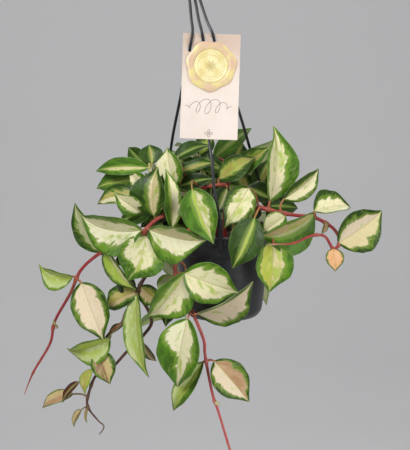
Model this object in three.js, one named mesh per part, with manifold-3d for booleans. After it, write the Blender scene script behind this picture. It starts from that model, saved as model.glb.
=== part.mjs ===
// A trailing wax plant with three-coloured leaves, in a black nursery pot that hangs from a
// moulded hanger with a card tag. Millimetres: +X right, +Y away from the front, +Z up.
// The origin is the point of the hook that bears on whatever the plant hangs from.
import * as THREE from "three";
import { mergeVertices } from "three/addons/utils/BufferGeometryUtils.js";
import Module from "manifold-3d";

const wasm = await Module();
wasm.setup();

// Driving dimensions
const RIM_RADIUS = 60;
const BASE_RADIUS = 45;
const POT_HEIGHT = 101;
const POT_WALL = 1.6;
const LIP_HEIGHT = 9;
const LIP_OVERHANG = 2.4;
const FOOT_HEIGHT = 2;
const DRAIN_RADIUS = 4;
const DRAIN_CIRCLE = 24;
const DRAIN_HOLES = 5;
const FOOT_RING = 7;
const SOIL_DROP = 13;
const CLEARANCE = 0.3;
const HANG_HEIGHT = 338;
const HANG_OFFSET = 40;
const HOOK_RADIUS = 11;
const HOOK_ROD = 2.4;
const HUB_DROP = 40;
const STRAP_WIDTH = 3.2;
const STRAP_THICKNESS = 1.8;
const CARD_WIDTH = 64;
const CARD_HEIGHT = 117.5;
const CARD_THICKNESS = 1;
const SEAL_RADIUS = 27.5;
const SEAL_THICKNESS = 2.2;
const LEAF_THICKNESS = 1.5;
const STALK_RADIUS = 1.1;

// The drawing grid: the plant is drawn as seen from the front, in steps of a 52nd of the rim's
// radius, right of and above the middle of the rim, from a view tilted down a little.
const GRID = RIM_RADIUS / 52;
const VIEW_TILT = THREE.MathUtils.degToRad(11);
const VIEW_DISTANCE = 1500 / GRID;
const VIEW_RIGHT = -18;
const VIEW_UP = 3;

// A drawing-grid point, and how far it stands in front of the pot's axis, as a place in the model.
function at([right, up, front]) {
  const lift = up - VIEW_UP;
  const slope = Math.tan(VIEW_TILT);
  const depth = (front / Math.cos(VIEW_TILT) + up * slope) / (1 + (lift * slope) / VIEW_DISTANCE);
  const shrink = 1 - depth / VIEW_DISTANCE;
  const seenRight = (right - VIEW_RIGHT) * shrink + VIEW_RIGHT;
  const seenUp = lift * shrink + VIEW_UP;
  const height = (seenUp + front * Math.sin(VIEW_TILT)) / Math.cos(VIEW_TILT);
  return new THREE.Vector3(HANG_OFFSET + seenRight * GRID, -front * GRID, height * GRID - HANG_HEIGHT);
}

// A direction given as right, up and towards the front.
const towards = ([right, up, front]) => new THREE.Vector3(right, -front, up);

// A point on the pot: angle from +X in degrees, radius, and height above the rim.
function onPot(degrees, radius, height) {
  const angle = THREE.MathUtils.degToRad(degrees);
  return new THREE.Vector3(
    HANG_OFFSET + radius * Math.cos(angle),
    radius * Math.sin(angle),
    height - HANG_HEIGHT,
  );
}

// Solids

function solidOf(geometry) {
  const loose = geometry.index ? geometry.toNonIndexed() : geometry.clone();
  loose.deleteAttribute("normal");
  loose.deleteAttribute("uv");
  const merged = mergeVertices(loose, 1e-4);
  return new wasm.Manifold(
    new wasm.Mesh({
      numProp: 3,
      vertProperties: merged.attributes.position.array,
      triVerts: new Uint32Array(merged.index.array),
    }),
  );
}

function geometryOf(solid) {
  const mesh = solid.getMesh();
  const geometry = new THREE.BufferGeometry();
  geometry.setAttribute("position", new THREE.BufferAttribute(mesh.vertProperties, 3));
  geometry.setIndex(new THREE.BufferAttribute(mesh.triVerts, 1));
  geometry.computeVertexNormals();
  return geometry;
}

const joined = (solids) => wasm.Manifold.union(solids);

// Drops loose scraps, fills hollows that joining seals and melts slivers where pieces meet.
const SLIVER = 0.1;
function wholeBody(solid) {
  const melted = solid.asOriginal().simplify(SLIVER);
  return melted.decompose().reduce((best, body) => (body.volume() > best.volume() ? body : best));
}

function meshOf(name, solid, material) {
  const mesh = new THREE.Mesh(geometryOf(solid), material);
  mesh.name = name;
  return mesh;
}

function boxSolid(width, depth, height, x, y, z) {
  return solidOf(new THREE.BoxGeometry(width, depth, height).translate(x, y, z));
}

// A section drawn on width and height, drawn along a curve.
function alongCurve(points, width, height, sides, steps) {
  const outline = [];
  for (let side = 0; side < sides; side += 1) {
    const angle = (2 * Math.PI * (side + 0.5)) / sides;
    const stretch = 1 / Math.cos(Math.PI / sides);
    outline.push(
      new THREE.Vector2((Math.cos(angle) * stretch * height) / 2, (Math.sin(angle) * stretch * width) / 2),
    );
  }
  const extrudePath = new THREE.CatmullRomCurve3(points, false, "centripetal");
  return solidOf(new THREE.ExtrudeGeometry(new THREE.Shape(outline), { steps, extrudePath }));
}

// Joins like rings of points into one closed solid with a flat cap on each end.
function ringSolid(rings) {
  const sides = rings[0].length;
  const faces = [];
  for (let step = 0; step < rings.length - 1; step += 1) {
    for (let side = 0; side < sides; side += 1) {
      const next = (side + 1) % sides;
      const here = step * sides;
      const above = here + sides;
      faces.push(here + side, here + next, above + next);
      faces.push(here + side, above + next, above + side);
    }
  }
  const last = (rings.length - 1) * sides;
  for (let side = 1; side < sides - 1; side += 1) {
    faces.push(0, side + 1, side);
    faces.push(last, last + side, last + side + 1);
  }
  const geometry = new THREE.BufferGeometry().setFromPoints(rings.flat());
  geometry.setIndex(faces);
  return solidOf(geometry);
}

// A flat strip along a curve, with its broad side turned to the front all the way.
function frontStrip(points, width, thickness, steps) {
  const curve = new THREE.CatmullRomCurve3(points, false, "centripetal");
  const rings = [];
  for (let step = 0; step <= steps; step += 1) {
    const ahead = curve.getTangentAt(step / steps);
    const face = new THREE.Vector3(0, -1, 0);
    face.addScaledVector(ahead, -face.dot(ahead)).normalize();
    const side = face.clone().cross(ahead);
    const corner = (across, off) =>
      curve
        .getPointAt(step / steps)
        .addScaledVector(side, (across * width) / 2)
        .addScaledVector(face, (off * thickness) / 2);
    rings.push([corner(1, 1), corner(-1, 1), corner(-1, -1), corner(1, -1)]);
  }
  return ringSolid(rings);
}

// A round stem that tapers along a smooth curve.
const STEM_SIDES = 4;
const STEM_STEP = 13;
const stemSteps = (curve) => Math.max(2, Math.round(curve.getLength() / STEM_STEP));

function taperedStem(curve, startRadius, endRadius) {
  const steps = stemSteps(curve);
  const frames = curve.computeFrenetFrames(steps, false);
  const rings = [];
  for (let step = 0; step <= steps; step += 1) {
    const centre = curve.getPointAt(step / steps);
    const radius = THREE.MathUtils.lerp(startRadius, endRadius, step / steps);
    const ring = [];
    for (let side = 0; side < STEM_SIDES; side += 1) {
      const angle = (2 * Math.PI * side) / STEM_SIDES;
      const place = centre
        .clone()
        .addScaledVector(frames.normals[step], radius * Math.cos(angle))
        .addScaledVector(frames.binormals[step], radius * Math.sin(angle));
      ring.push(place);
    }
    rings.push(ring);
  }
  return ringSolid(rings);
}

// Leaves

// A leaf's half width along its length, from 0 at the stalk to 1 at the tip.
function leafOutline(along) {
  const body = Math.max(0, Math.sin(Math.PI * along ** 0.82)) ** 0.75;
  const point = 1 - 0.42 * THREE.MathUtils.smoothstep(along, 0.66, 1);
  return body * point;
}

// A leaf is one closed grid: a short stalk from its stem, then a blade that is arched along its
// length, folded at the midrib, hooked down at the tip, bent sideways and waved at its edges.
// Every height of the blade is measured along its face direction, so its faces never cross.
const LARGE_ROWS = [0, 0.11, 0.32, 0.58, 0.82, 1];
const SMALL_ROWS = [0, 0.14, 0.42, 0.74, 1];
const FLAT_COLUMNS = [-1, 1];
const FOLDED_COLUMNS = [-1, 0, 1];
const CUPPED_COLUMNS = [-1, -0.5, 0, 0.5, 1];
const SMALL_LEAF = 11 * GRID;
const WIDE_LEAF = 34 * GRID;
const HOOK_START = 0.6;
const LEAF_END = 0.7;
const LONG_STALK = 12;
function columnsFor(width) {
  if (width < SMALL_LEAF) return FLAT_COLUMNS;
  return width < WIDE_LEAF ? FOLDED_COLUMNS : CUPPED_COLUMNS;
}

// The point of the stem that a leaf grows from: near its base, and not in front of it.
const FORWARD_COST = 1.5;
const ROOTS_PER_STEP = 5;

// Points along the straight steps that a stem is made of.
function rootPoints(curve) {
  const rings = curve.getSpacedPoints(stemSteps(curve));
  return rings.slice(1).flatMap((ring, index) => {
    const place = (part) => rings[index].clone().lerp(ring, part / ROOTS_PER_STEP);
    return Array.from({ length: ROOTS_PER_STEP }, (_, part) => place(part + 0.5));
  });
}

function leafRoot({ base, tip }, curves) {
  const heading = tip.clone().sub(base).normalize();
  const cost = (point) => {
    const step = point.clone().sub(base);
    return step.length() + FORWARD_COST * Math.max(0, step.dot(heading));
  };
  return curves.flatMap(rootPoints).reduce((best, point) => (cost(point) < cost(best) ? point : best));
}

function stalkSections(root, base, normal) {
  const run = base.clone().sub(root);
  const side = run.clone().cross(normal).normalize();
  const lift = side.clone().cross(run).normalize();
  const sections = [{ centre: root, side, lift }];
  if (run.length() > LONG_STALK) {
    sections.push({ centre: root.clone().addScaledVector(run, 0.6).addScaledVector(lift, 1), side, lift });
  }
  return sections;
}

function leafSolid(leaf, curves) {
  const { base, tip, width, face } = leaf;
  const { arch = 0.07, fold = 18, hook = 0.06, bend = 0, wave = 0.03 } = leaf;
  const axis = tip.clone().sub(base);
  const length = axis.length();
  axis.normalize();
  const normal = face.clone().addScaledVector(axis, -face.dot(axis)).normalize();
  const side = axis.clone().cross(normal);
  const columns = columnsFor(width);
  const tilt = THREE.MathUtils.degToRad(fold);
  const half = LEAF_THICKNESS / 2 / Math.cos(tilt);
  const upper = [];
  const lower = [];
  const sections = stalkSections(leafRoot(leaf, curves), base, normal);
  for (const section of sections) {
    for (const across of columns) {
      const place = section.centre.clone().addScaledVector(section.side, STALK_RADIUS * across);
      upper.push(place.clone().addScaledVector(section.lift, STALK_RADIUS));
      lower.push(place.addScaledVector(section.lift, -STALK_RADIUS));
    }
  }
  const rows = width < WIDE_LEAF ? SMALL_ROWS : LARGE_ROWS;
  for (const along of rows) {
    const reach = (width / 2) * leafOutline(along) + LEAF_END;
    const rise = 4 * along * (1 - along);
    const drop = Math.max(0, (along - HOOK_START) / (1 - HOOK_START)) ** 2;
    for (const across of columns) {
      const ripple = wave * width * across ** 2 * Math.sin(9 * along + 2 * across + width);
      const height =
        length * (arch * rise - hook * drop) +
        reach * Math.abs(across) ** 1.3 * Math.sin(tilt) +
        ripple * Math.min(1, rise);
      const place = base
        .clone()
        .addScaledVector(axis, length * along)
        .addScaledVector(side, reach * across * Math.cos(tilt) + length * bend * rise)
        .addScaledVector(normal, height);
      upper.push(place.clone().addScaledVector(normal, half));
      lower.push(place.addScaledVector(normal, -half));
    }
  }
  return closedGrid(upper, lower, columns.length);
}

// Joins two like grids of points, one above the other, into one closed solid.
function closedGrid(upper, lower, stride) {
  const count = upper.length;
  const faces = [];
  const quad = (a, b, c, d) => faces.push(a, b, c, c, b, d);
  for (let left = 0; left < count - stride; left += stride) {
    for (let corner = left; corner < left + stride - 1; corner += 1) {
      const next = corner + stride;
      quad(corner, corner + 1, next, next + 1);
      faces.push(count + corner, count + next, count + corner + 1);
      faces.push(count + next, count + next + 1, count + corner + 1);
    }
    const right = left + stride - 1;
    quad(left, left + stride, count + left, count + left + stride);
    quad(right + stride, right, count + right + stride, count + right);
  }
  for (let column = 0; column < stride - 1; column += 1) {
    const end = count - stride + column;
    quad(column + 1, column, count + column + 1, count + column);
    quad(end, end + 1, count + end, count + end + 1);
  }
  const geometry = new THREE.BufferGeometry().setFromPoints([...upper, ...lower]);
  geometry.setIndex(faces);
  return solidOf(geometry);
}

// Each stem: its curves with their radii, its foot in the soil, and its leaves.
const FOOT_DEPTH = 14;
const SOIL_TOP = -SOIL_DROP;
function plantedCurve(foot, points) {
  return new THREE.CatmullRomCurve3([
    foot.clone().setZ(foot.z - FOOT_DEPTH),
    foot,
    foot.clone().setZ(foot.z + 5),
    ...points,
  ]);
}

function footOnSoil(right, front) {
  return new THREE.Vector3(
    HANG_OFFSET + right * GRID,
    -front * GRID,
    SOIL_TOP + 2 - HANG_HEIGHT,
  );
}

// Unless its face is given, a leaf faces forwards, up a little, and outwards from the pot.
function drawnLeaf(base, tip, width, shape = {}) {
  const { face = [base[0] / 110, 0.5, 1], ...rest } = shape;
  return { base: at(base), tip: at(tip), width: width * GRID, face: towards(face), ...rest };
}

function drawnStem(foot, points, leaves, branches = []) {
  const curves = [plantedCurve(footOnSoil(...foot), points.map(at))];
  for (const branch of branches) curves.push(new THREE.CatmullRomCurve3(branch.map(at)));
  return { foot: footOnSoil(...foot), curves, leaves };
}

const upperLeft = drawnStem(
  [-22, 16],
  [
    [-42, 10, 26],
    [-56, 16, 34],
    [-66, 30, 34],
    [-70, 46, 30],
    [-73, 58, 24],
    [-74, 64, 20],
  ],
  [
    drawnLeaf([-51, 0, 47], [-56, 60, 32], 20, { face: [0.5, 0.2, 1] }),
    drawnLeaf([-68.6, 11.5, 46], [-66.5, 61.4, 38], 43, { arch: 0.1, fold: 25 }),
    drawnLeaf([-82, 16, 40], [-109, 35, 50], 21),
    drawnLeaf([-84, 31, 33], [-127, 25, 16], 26, { face: [-0.3, 0.8, 0.7], arch: 0.12 }),
    drawnLeaf([-75, 41, 32], [-95, 56, 26], 16),
    drawnLeaf([-48, 42, 16], [-56.5, 80.4, 10], 29),
    drawnLeaf([-60, 38, 24], [-61, 54, 26], 8),
    drawnLeaf([-71, 64, 12], [-74, 84, 2], 24, { face: [0, 0.9, 0.5] }),
    drawnLeaf([-74, 60, 12], [-95.5, 81.3, -8], 18),
    drawnLeaf([-74.4, 60, 24], [-128.6, 57.4, 6], 19, { arch: 0.14 }),
    drawnLeaf([-80, 50, 14], [-130, 41, -8], 23, { hook: 0.12 }),
    drawnLeaf([-66, 20, 26], [-47, 46, 12], 22),
    drawnLeaf([-60, 10, 30], [-34, -3, 36], 19),
    drawnLeaf([-70, 18, 32], [-105, 5, 32], 24),
    drawnLeaf([-54, 17, 30], [-83, 1, 34], 22),
  ],
);

const leftTrail = drawnStem(
  [-14, 26],
  [
    [-34, 9, 38],
    [-50, 13, 41],
    [-62, 11, 49],
    [-71, 5, 55],
    [-79, -3.6, 57],
    [-100, -14, 49],
    [-122, -24.5, 42],
    [-142, -42, 36],
    [-152.5, -65, 32],
    [-168.6, -94.5, 28],
    [-172.4, -114, 26],
    [-190, -145, 22],
    [-199, -167, 20],
  ],
  [
    drawnLeaf([-81, -2, 62], [-144, 12, 46], 50, {
      face: [-0.2, -0.36, 1],
      fold: 27,
      bend: -0.07,
      arch: 0.08,
    }),
    drawnLeaf([-122, -24, 40], [-150, 24.7, 26], 28),
    drawnLeaf([-74, -1.5, 61], [-16.6, -14, 62], 50, { face: [-0.1, -0.5, 1], fold: 28 }),
    drawnLeaf([-77, -7, 55], [-95, -53, 59], 47, { face: [0.2, 0.2, 1], bend: -0.06 }),
    drawnLeaf([-118, -21, 42], [-88, -63, 46], 22, { fold: 30 }),
    drawnLeaf([-104, -27, 42], [-94, -39, 38], 12),
    drawnLeaf([-150, -48.5, 36], [-185.4, -37, 28], 31, { face: [-0.3, -0.5, 1], fold: 34, bend: -0.08 }),
    drawnLeaf([-141.8, -54.7, 38], [-119.6, -112.8, 57], 38, { face: [0, 0.3, 1] }),
  ],
);

const lowLeft = drawnStem(
  [-30, 14],
  [
    [-50, 4, 28],
    [-60, -12, 30],
    [-69, -36, 32],
    [-84, -62, 36],
    [-74, -84, 38],
    [-71.4, -94.5, 38],
    [-79, -106.7, 34],
    [-97.4, -125, 30],
    [-109.6, -138, 28],
    [-126, -146.5, 26],
    [-132.6, -160, 26],
    [-135.6, -177, 28],
    [-125, -192.4, 30],
    [-119, -198.5, 32],
    [-124, -207, 32],
  ],
  [
    drawnLeaf([-84, -62, 36], [-119, -80, 26], 27),
    drawnLeaf([-86, -66, 41], [-76.7, -151, 50], 28, { fold: 30 }),
    drawnLeaf([-82, -58, 36], [-62, -76, 36], 22),
    drawnLeaf([-113, -110, 42], [-157.5, -125, 31], 37, { face: [0.1, -0.5, 1], fold: 30, hook: 0.14 }),
    drawnLeaf([-124, -122, 34], [-113, -156.5, 42], 25, { face: [0, 0.3, 1] }),
    drawnLeaf([-131, -141, 30], [-139, -166, 38], 18),
    drawnLeaf([-150, -166, 24], [-182, -180, 14], 15, { bend: 0.06 }),
    drawnLeaf([-144, -154, 30], [-161.5, -174.5, 27], 11),
    drawnLeaf([-141.8, -181.7, 28], [-150, -199, 24], 10),
    drawnLeaf([-79, -116, 32], [-66.7, -134, 24], 12),
    drawnLeaf([-101, -96, 43], [-115, -109, 45], 8, { fold: 40 }),
    drawnLeaf([-88, -62, 32], [-106, -48, 26], 20),
  ],
  [
    [
      [-84, -62, 36],
      [-97, -84, 40],
      [-102, -97.5, 42],
      [-115.7, -108, 40],
      [-126, -125, 34],
      [-132.6, -134, 29],
      [-126, -146.5, 26],
    ],
  ],
);

const lowFront = drawnStem(
  [-4, 34],
  [
    [-16, 9, 42],
    [-28, 5, 51],
    [-40, -14, 48],
    [-48, -38, 45],
    [-44, -56, 47],
    [-37.3, -73, 48],
    [-29.5, -87, 47],
    [-18.8, -113.8, 47],
    [-18.2, -124, 47],
    [-15, -144.4, 47],
    [-9.2, -171, 47],
    [-5.4, -181.4, 47],
    [6.7, -221, 40],
    [11, -234, 37],
  ],
  [
    drawnLeaf([-50, -48, 46], [-65, -66, 48], 17),
    drawnLeaf([-37, -44, 54], [-76, -91, 51], 48, { face: [0.5, -0.1, 1], fold: 30 }),
    drawnLeaf([-44, -58, 44], [-58.7, -99, 44], 25),
    drawnLeaf([-39, -45.5, 54], [15.6, -65, 55], 42, { face: [0, 0.1, 1] }),
    drawnLeaf([-25.2, -86, 57], [31, -56.4, 72], 48, { face: [0.48, -0.68, 1], fold: 30 }),
    drawnLeaf([-35.5, -90.5, 58], [-47, -160.4, 55], 46),
    drawnLeaf([-20, -134, 44], [-51.3, -184, 31], 24, { fold: 35 }),
    drawnLeaf([-8.6, -133, 49], [26.5, -173.8, 60], 36),
  ],
);

const centreTop = drawnStem(
  [2, -6],
  [
    [2, 24, 0],
    [3.4, 42, 6],
    [-10, 42.5, 10],
    [-23, 40.4, 10],
    [-36, 52, 4],
    [-46, 72, -4],
  ],
  [
    drawnLeaf([-31, 39, 48], [-10, -15.6, 67], 36, { arch: 0.1 }),
    drawnLeaf([-49, 68, -6], [-13, 84, -10], 21, { face: [0, 0.9, 0.6] }),
    drawnLeaf([-45, 56, 0], [-9, 66, 2], 19, { face: [0, 0.8, 0.7] }),
    drawnLeaf([-42, 42, 6], [-10, 50, 14], 18),
    drawnLeaf([-9, 70, -10], [28.8, 100.9, -24], 21),
    drawnLeaf([-4, 49, 8], [32, 71.3, 6], 26),
    drawnLeaf([8, 53, 0], [47, 81.4, -5], 22),
    drawnLeaf([4, 40, 12], [-7, 12, 28], 21),
    drawnLeaf([-14, 42, 6], [-38, 20, 14], 22),
    drawnLeaf([-2, 58, -2], [-27, 71, -11], 20),
    drawnLeaf([10, 58, -4], [20, 86, -22], 20),
  ],
  [
    [
      [2, 30, 2],
      [5, 42, 4],
      [8, 56, 2],
      [2, 66, -4],
      [-6, 71, -7],
    ],
  ],
);

const rightTrail = drawnStem(
  [20, 14],
  [
    [30, 12, 22],
    [34, 20, 26],
    [42.5, 19, 28],
    [58, 15, 30],
    [74, 12.6, 30],
    [90, 11, 28],
    [110.8, -1, 28],
    [117, -14, 30],
    [111, -21, 34],
    [102, -8.5, 38],
    [93.4, -6.9, 41],
    [83.6, -9.6, 45],
    [71.2, -15, 49],
    [42.4, -16.7, 53],
  ],
  [
    drawnLeaf([47, 27, 22], [53, 102.6, 8], 45, { face: [0.75, 0.2, 1], fold: 30 }),
    drawnLeaf([61, 29, 24], [97.2, 59.2, 10], 26, { face: [0.38, -0.2, 1], fold: 26 }),
    drawnLeaf([47, 22, 20], [76, 20, 4], 17),
    drawnLeaf([62, 12, 33], [38, -6, 43], 22, { face: [0.2, 0.4, 1] }),
    drawnLeaf([91, 14, 34], [35, -9, 46], 52, { face: [0.31, -0.5, 1], fold: 30, bend: -0.07 }),
    drawnLeaf([49, -12, 41], [47, -65, 47], 42, { face: [0.35, 0.3, 1], fold: 22 }),
    drawnLeaf([91, 16.5, 32], [128.5, 22, 18], 40, { face: [0.2, 1.8, 1], fold: 25 }),
    drawnLeaf([115, -15, 32], [160, 17, 22], 46, { face: [0.35, 0.05, 1], fold: 20 }),
    drawnLeaf([110, -20.5, 36], [112.5, -43.5, 44], 19, { face: [0.1, 0.3, 1] }),
    drawnLeaf([103, 6, 31], [99, -6, 35], 7),
    drawnLeaf([26, 40, 24], [1.2, 0, 50], 31),
    drawnLeaf([31.6, 10.4, 50], [9.9, -40.6, 60], 34),
    drawnLeaf([24, 40, 12], [50, 28, 10], 22),
    drawnLeaf([34, 22, 22], [24, 6, 34], 16),
  ],
);

const centreBack = drawnStem(
  [-10, -18],
  [
    [-12, 22, -20],
    [-17, 44, -22],
    [-22, 60, -24],
    [-26, 72, -26],
  ],
  [
    drawnLeaf([-20, 32, -20], [-54, 38, -18], 26),
    drawnLeaf([-11, 32, -20], [20, 42, -21], 26),
    drawnLeaf([-25, 52, -22], [-46, 70, -25], 23),
    drawnLeaf([-16, 52, -24], [12, 74, -27], 25),
    drawnLeaf([-15, 54, -28], [-4, 76, -56], 26, { face: [0, 1, -0.2] }),
    drawnLeaf([-29, 72, -28], [-48, 84, -50], 22, { face: [0, 1, -0.4] }),
    drawnLeaf([-24, 73, -26], [-10, 92, -36], 21),
  ],
);

const rightTop = drawnStem(
  [24, -22],
  [
    [27, 16, -27],
    [29, 34, -31],
    [32, 50, -35],
    [34, 60, -37],
  ],
  [
    drawnLeaf([33, 39, -35], [47, 70, -38], 24),
    drawnLeaf([37, 28, -40], [70, 22, -50], 25),
    drawnLeaf([26, 34, -32], [10, 56, -38], 24),
    drawnLeaf([38, 46, -38], [64, 58, -56], 25, { face: [0.6, 1, -0.2] }),
    drawnLeaf([35, 28, -38], [68, 18, -60], 28, { face: [0.8, 1, -0.2] }),
  ],
);

// The stems behind the pot follow a rule: each climbs over the rim at its own angle and hangs
// down outside the pot, with a pair of leaves at every node, turned a quarter from pair to pair.
const NODE_SPACING = 42;
const BACK_LEAF = 66;
const BACK_STEMS = [
  { angle: 64, nodes: 2, drop: 20, seed: 23 },
  { angle: 98, nodes: 2, drop: 0, seed: 37 },
  { angle: 134, nodes: 3, drop: 20, seed: 41 },
  { angle: 172, nodes: 1, drop: 0, seed: 59 },
];

const DRAW_PRIME = 2147483647;
function seededDraw(seed) {
  let state = seed * 7919;
  return () => {
    state = (state * 16807) % DRAW_PRIME;
    return state / DRAW_PRIME;
  };
}

function backStem({ angle, nodes, drop, seed }) {
  const draw = seededDraw(seed);
  const turn = THREE.MathUtils.degToRad(angle);
  const out = new THREE.Vector3(Math.cos(turn), Math.sin(turn), 0);
  const sideways = new THREE.Vector3(-out.y, out.x, 0);
  const up = new THREE.Vector3(0, 0, 1);
  const foot = onPot(angle, 30, SOIL_TOP + 2);
  const points = [onPot(angle, 44, 20 + drop), onPot(angle, RIM_RADIUS + 9, 10)];
  for (let node = 0; node < nodes; node += 1) {
    const sway = (draw() - 0.5) * 16;
    points.push(onPot(angle + sway, RIM_RADIUS + 14 + 4 * draw(), -16 - drop - NODE_SPACING * node));
  }
  const leaves = [];
  points.forEach((point, node) => {
    for (const hand of [-1, 1]) {
      const size = BACK_LEAF * (0.75 + 0.35 * draw()) * (1 - 0.05 * node);
      const heading = out.clone().multiplyScalar(0.5 + 0.3 * draw());
      if (node % 2) {
        heading.multiplyScalar(1.4).addScaledVector(up, hand > 0 ? 0.7 : -0.9);
        heading.addScaledVector(sideways, 0.25 * hand);
      } else {
        heading.addScaledVector(sideways, hand * (node ? 0.8 : 0.4));
        heading.addScaledVector(up, node ? -0.25 : 0.9);
      }
      heading.normalize();
      const base = point.clone().addScaledVector(heading, 7);
      leaves.push({
        base,
        tip: base.clone().addScaledVector(heading, size),
        width: size * (0.46 + 0.1 * draw()),
        face: out.clone().addScaledVector(up, 0.8),
        arch: 0.08,
        hook: 0.1,
      });
    }
  });
  return { foot, curves: [plantedCurve(foot, points)], leaves };
}

const STEM_START = 2.6;
const STEM_END = 1.3;
const BRANCH_START = 2;
const BRANCH_END = 1.2;

function stemSolids(stem) {
  const [trunk, ...branches] = stem.curves;
  const solids = [taperedStem(trunk, STEM_START, STEM_END)];
  for (const branch of branches) solids.push(taperedStem(branch, BRANCH_START, BRANCH_END));
  for (const leaf of stem.leaves) solids.push(leafSolid(leaf, stem.curves));
  return solids;
}

const SPRAYS = {
  stem_upper_left: [upperLeft],
  stem_left_trail: [leftTrail],
  stem_low_left: [lowLeft],
  stem_low_front: [lowFront],
  stem_centre_top: [centreTop],
  stem_right_trail: [rightTrail],
  stem_centre_back: [centreBack],
  stem_right_top: [rightTop],
};
BACK_STEMS.forEach((stem, index) => {
  SPRAYS["stem_back_" + (index + 1)] = [backStem(stem)];
});

// Pot

const LIP_RADIUS = RIM_RADIUS;
const WALL_TOP_RADIUS = RIM_RADIUS - LIP_OVERHANG;
const wallRadius = (height) =>
  THREE.MathUtils.mapLinear(height, 0, -POT_HEIGHT, WALL_TOP_RADIUS, BASE_RADIUS);
const LATHE_SIDES = 28;

function latheSolid(profile, sides = LATHE_SIDES) {
  const points = profile.map(([radius, height]) => new THREE.Vector2(radius, height));
  return solidOf(new THREE.LatheGeometry(points, sides).rotateX(Math.PI / 2));
}

function potSolid() {
  const floor = -POT_HEIGHT + FOOT_HEIGHT;
  const ring = BASE_RADIUS - FOOT_RING;
  let pot = latheSolid([
    [0, floor],
    [ring, floor],
    [ring, -POT_HEIGHT],
    [BASE_RADIUS, -POT_HEIGHT],
    [wallRadius(-LIP_HEIGHT - 1), -LIP_HEIGHT - 1],
    [LIP_RADIUS, -LIP_HEIGHT],
    [LIP_RADIUS, -0.8],
    [LIP_RADIUS - 0.8, 0],
    [WALL_TOP_RADIUS - POT_WALL, 0],
    [wallRadius(floor) - POT_WALL, floor + POT_WALL],
    [0, floor + POT_WALL],
  ]);
  for (let hole = 0; hole < DRAIN_HOLES; hole += 1) {
    const angle = (2 * Math.PI * hole) / DRAIN_HOLES;
    const drill = new THREE.CylinderGeometry(DRAIN_RADIUS, DRAIN_RADIUS, 10, 12).rotateX(Math.PI / 2);
    drill.translate(DRAIN_CIRCLE * Math.cos(angle), DRAIN_CIRCLE * Math.sin(angle), floor);
    pot = pot.subtract(solidOf(drill));
  }
  return pot.translate(HANG_OFFSET, 0, -HANG_HEIGHT);
}

const STEM_HOLE = 3.3;
function soilSolid(feet) {
  const floor = -POT_HEIGHT + FOOT_HEIGHT + POT_WALL + CLEARANCE;
  const gap = POT_WALL + 2 * CLEARANCE;
  let soil = latheSolid([
    [0, floor],
    [wallRadius(floor) - gap, floor],
    [wallRadius(SOIL_TOP) - gap, SOIL_TOP - 2],
    [34, SOIL_TOP + 0.5],
    [0, SOIL_TOP + 1.5],
  ]).translate(HANG_OFFSET, 0, -HANG_HEIGHT);
  for (const foot of feet) {
    const hole = new THREE.CylinderGeometry(STEM_HOLE, STEM_HOLE, 2 * FOOT_DEPTH + 2, 8);
    hole.rotateX(Math.PI / 2).translate(foot.x, foot.y, foot.z);
    soil = soil.subtract(solidOf(hole));
  }
  return soil;
}

// Hanger: a hook with its hub, and three straps that clip over the pot's lip and hold the card

const CARD_TILT = THREE.MathUtils.degToRad(13);
const CARD_LEAN = THREE.MathUtils.degToRad(1.9);
const SEAL_BELOW_TOP = 36;
const CARD_TOP = at([-11, 194, 11]);

const HOOK_REACH = HOOK_RADIUS + HOOK_ROD;
function hookSolid(strapTops) {
  const rod = [
    [0, -HUB_DROP + 2],
    [1.5, -HUB_DROP + 8],
    [9.5, -24],
    [HOOK_REACH, -HOOK_RADIUS],
    [0.71 * HOOK_REACH, -HOOK_RADIUS + 0.71 * HOOK_REACH],
    [0, HOOK_ROD],
    [-0.71 * HOOK_REACH, -HOOK_RADIUS + 0.71 * HOOK_REACH],
    [-HOOK_REACH, -HOOK_RADIUS],
    [-HOOK_REACH + 1.5, -HOOK_RADIUS - 7],
  ].map(([x, z]) => new THREE.Vector3(x, 0, z));
  const hub = latheSolid(
    [
      [0, -HUB_DROP - 6],
      [7.5, -HUB_DROP - 6],
      [8.5, -HUB_DROP - 4],
      [7, -HUB_DROP + 2],
      [3, -HUB_DROP + 6],
      [0, -HUB_DROP + 6],
    ],
    20,
  );
  let hook = joined([alongCurve(rod, 2 * HOOK_ROD, 2 * HOOK_ROD, 6, 22), hub]);
  for (const top of strapTops) {
    const socket = new THREE.BoxGeometry(STRAP_WIDTH + 1.2, STRAP_THICKNESS + 1.6, 8);
    socket.translate(top.x, top.y, -HUB_DROP - 5);
    hook = hook.subtract(solidOf(socket));
  }
  return hook;
}

const STRAP_CLIPS = { left: 150, front: 266, right: 30 };
const CLIP_WIDTH = 5.8;
const CLIP_PLATE = 2;
const CLIP_RISE = 22;

// A clip that grips the lip: an outer plate, a bridge over the rim, an inner leg and a claw.
function clipSolid(degrees) {
  const outer = LIP_RADIUS + CLEARANCE;
  const inner = WALL_TOP_RADIUS - POT_WALL - 1.6;
  const underLip = -LIP_HEIGHT - 1 - CLEARANCE;
  const plate = (from, to, low, high) =>
    boxSolid(to - from, CLIP_WIDTH, high - low, (from + to) / 2, 0, (low + high) / 2);
  const parts = [
    plate(outer, outer + CLIP_PLATE, underLip - CLIP_PLATE, CLIP_RISE),
    plate(inner - CLIP_PLATE, outer + 1, CLEARANCE, CLEARANCE + CLIP_PLATE),
    plate(inner - CLIP_PLATE, inner, -6, CLEARANCE + 1),
    plate(WALL_TOP_RADIUS + CLEARANCE, outer + 1, underLip - CLIP_PLATE, underLip),
  ];
  return joined(parts).rotate(0, 0, degrees).translate(HANG_OFFSET, 0, -HANG_HEIGHT);
}

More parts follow.
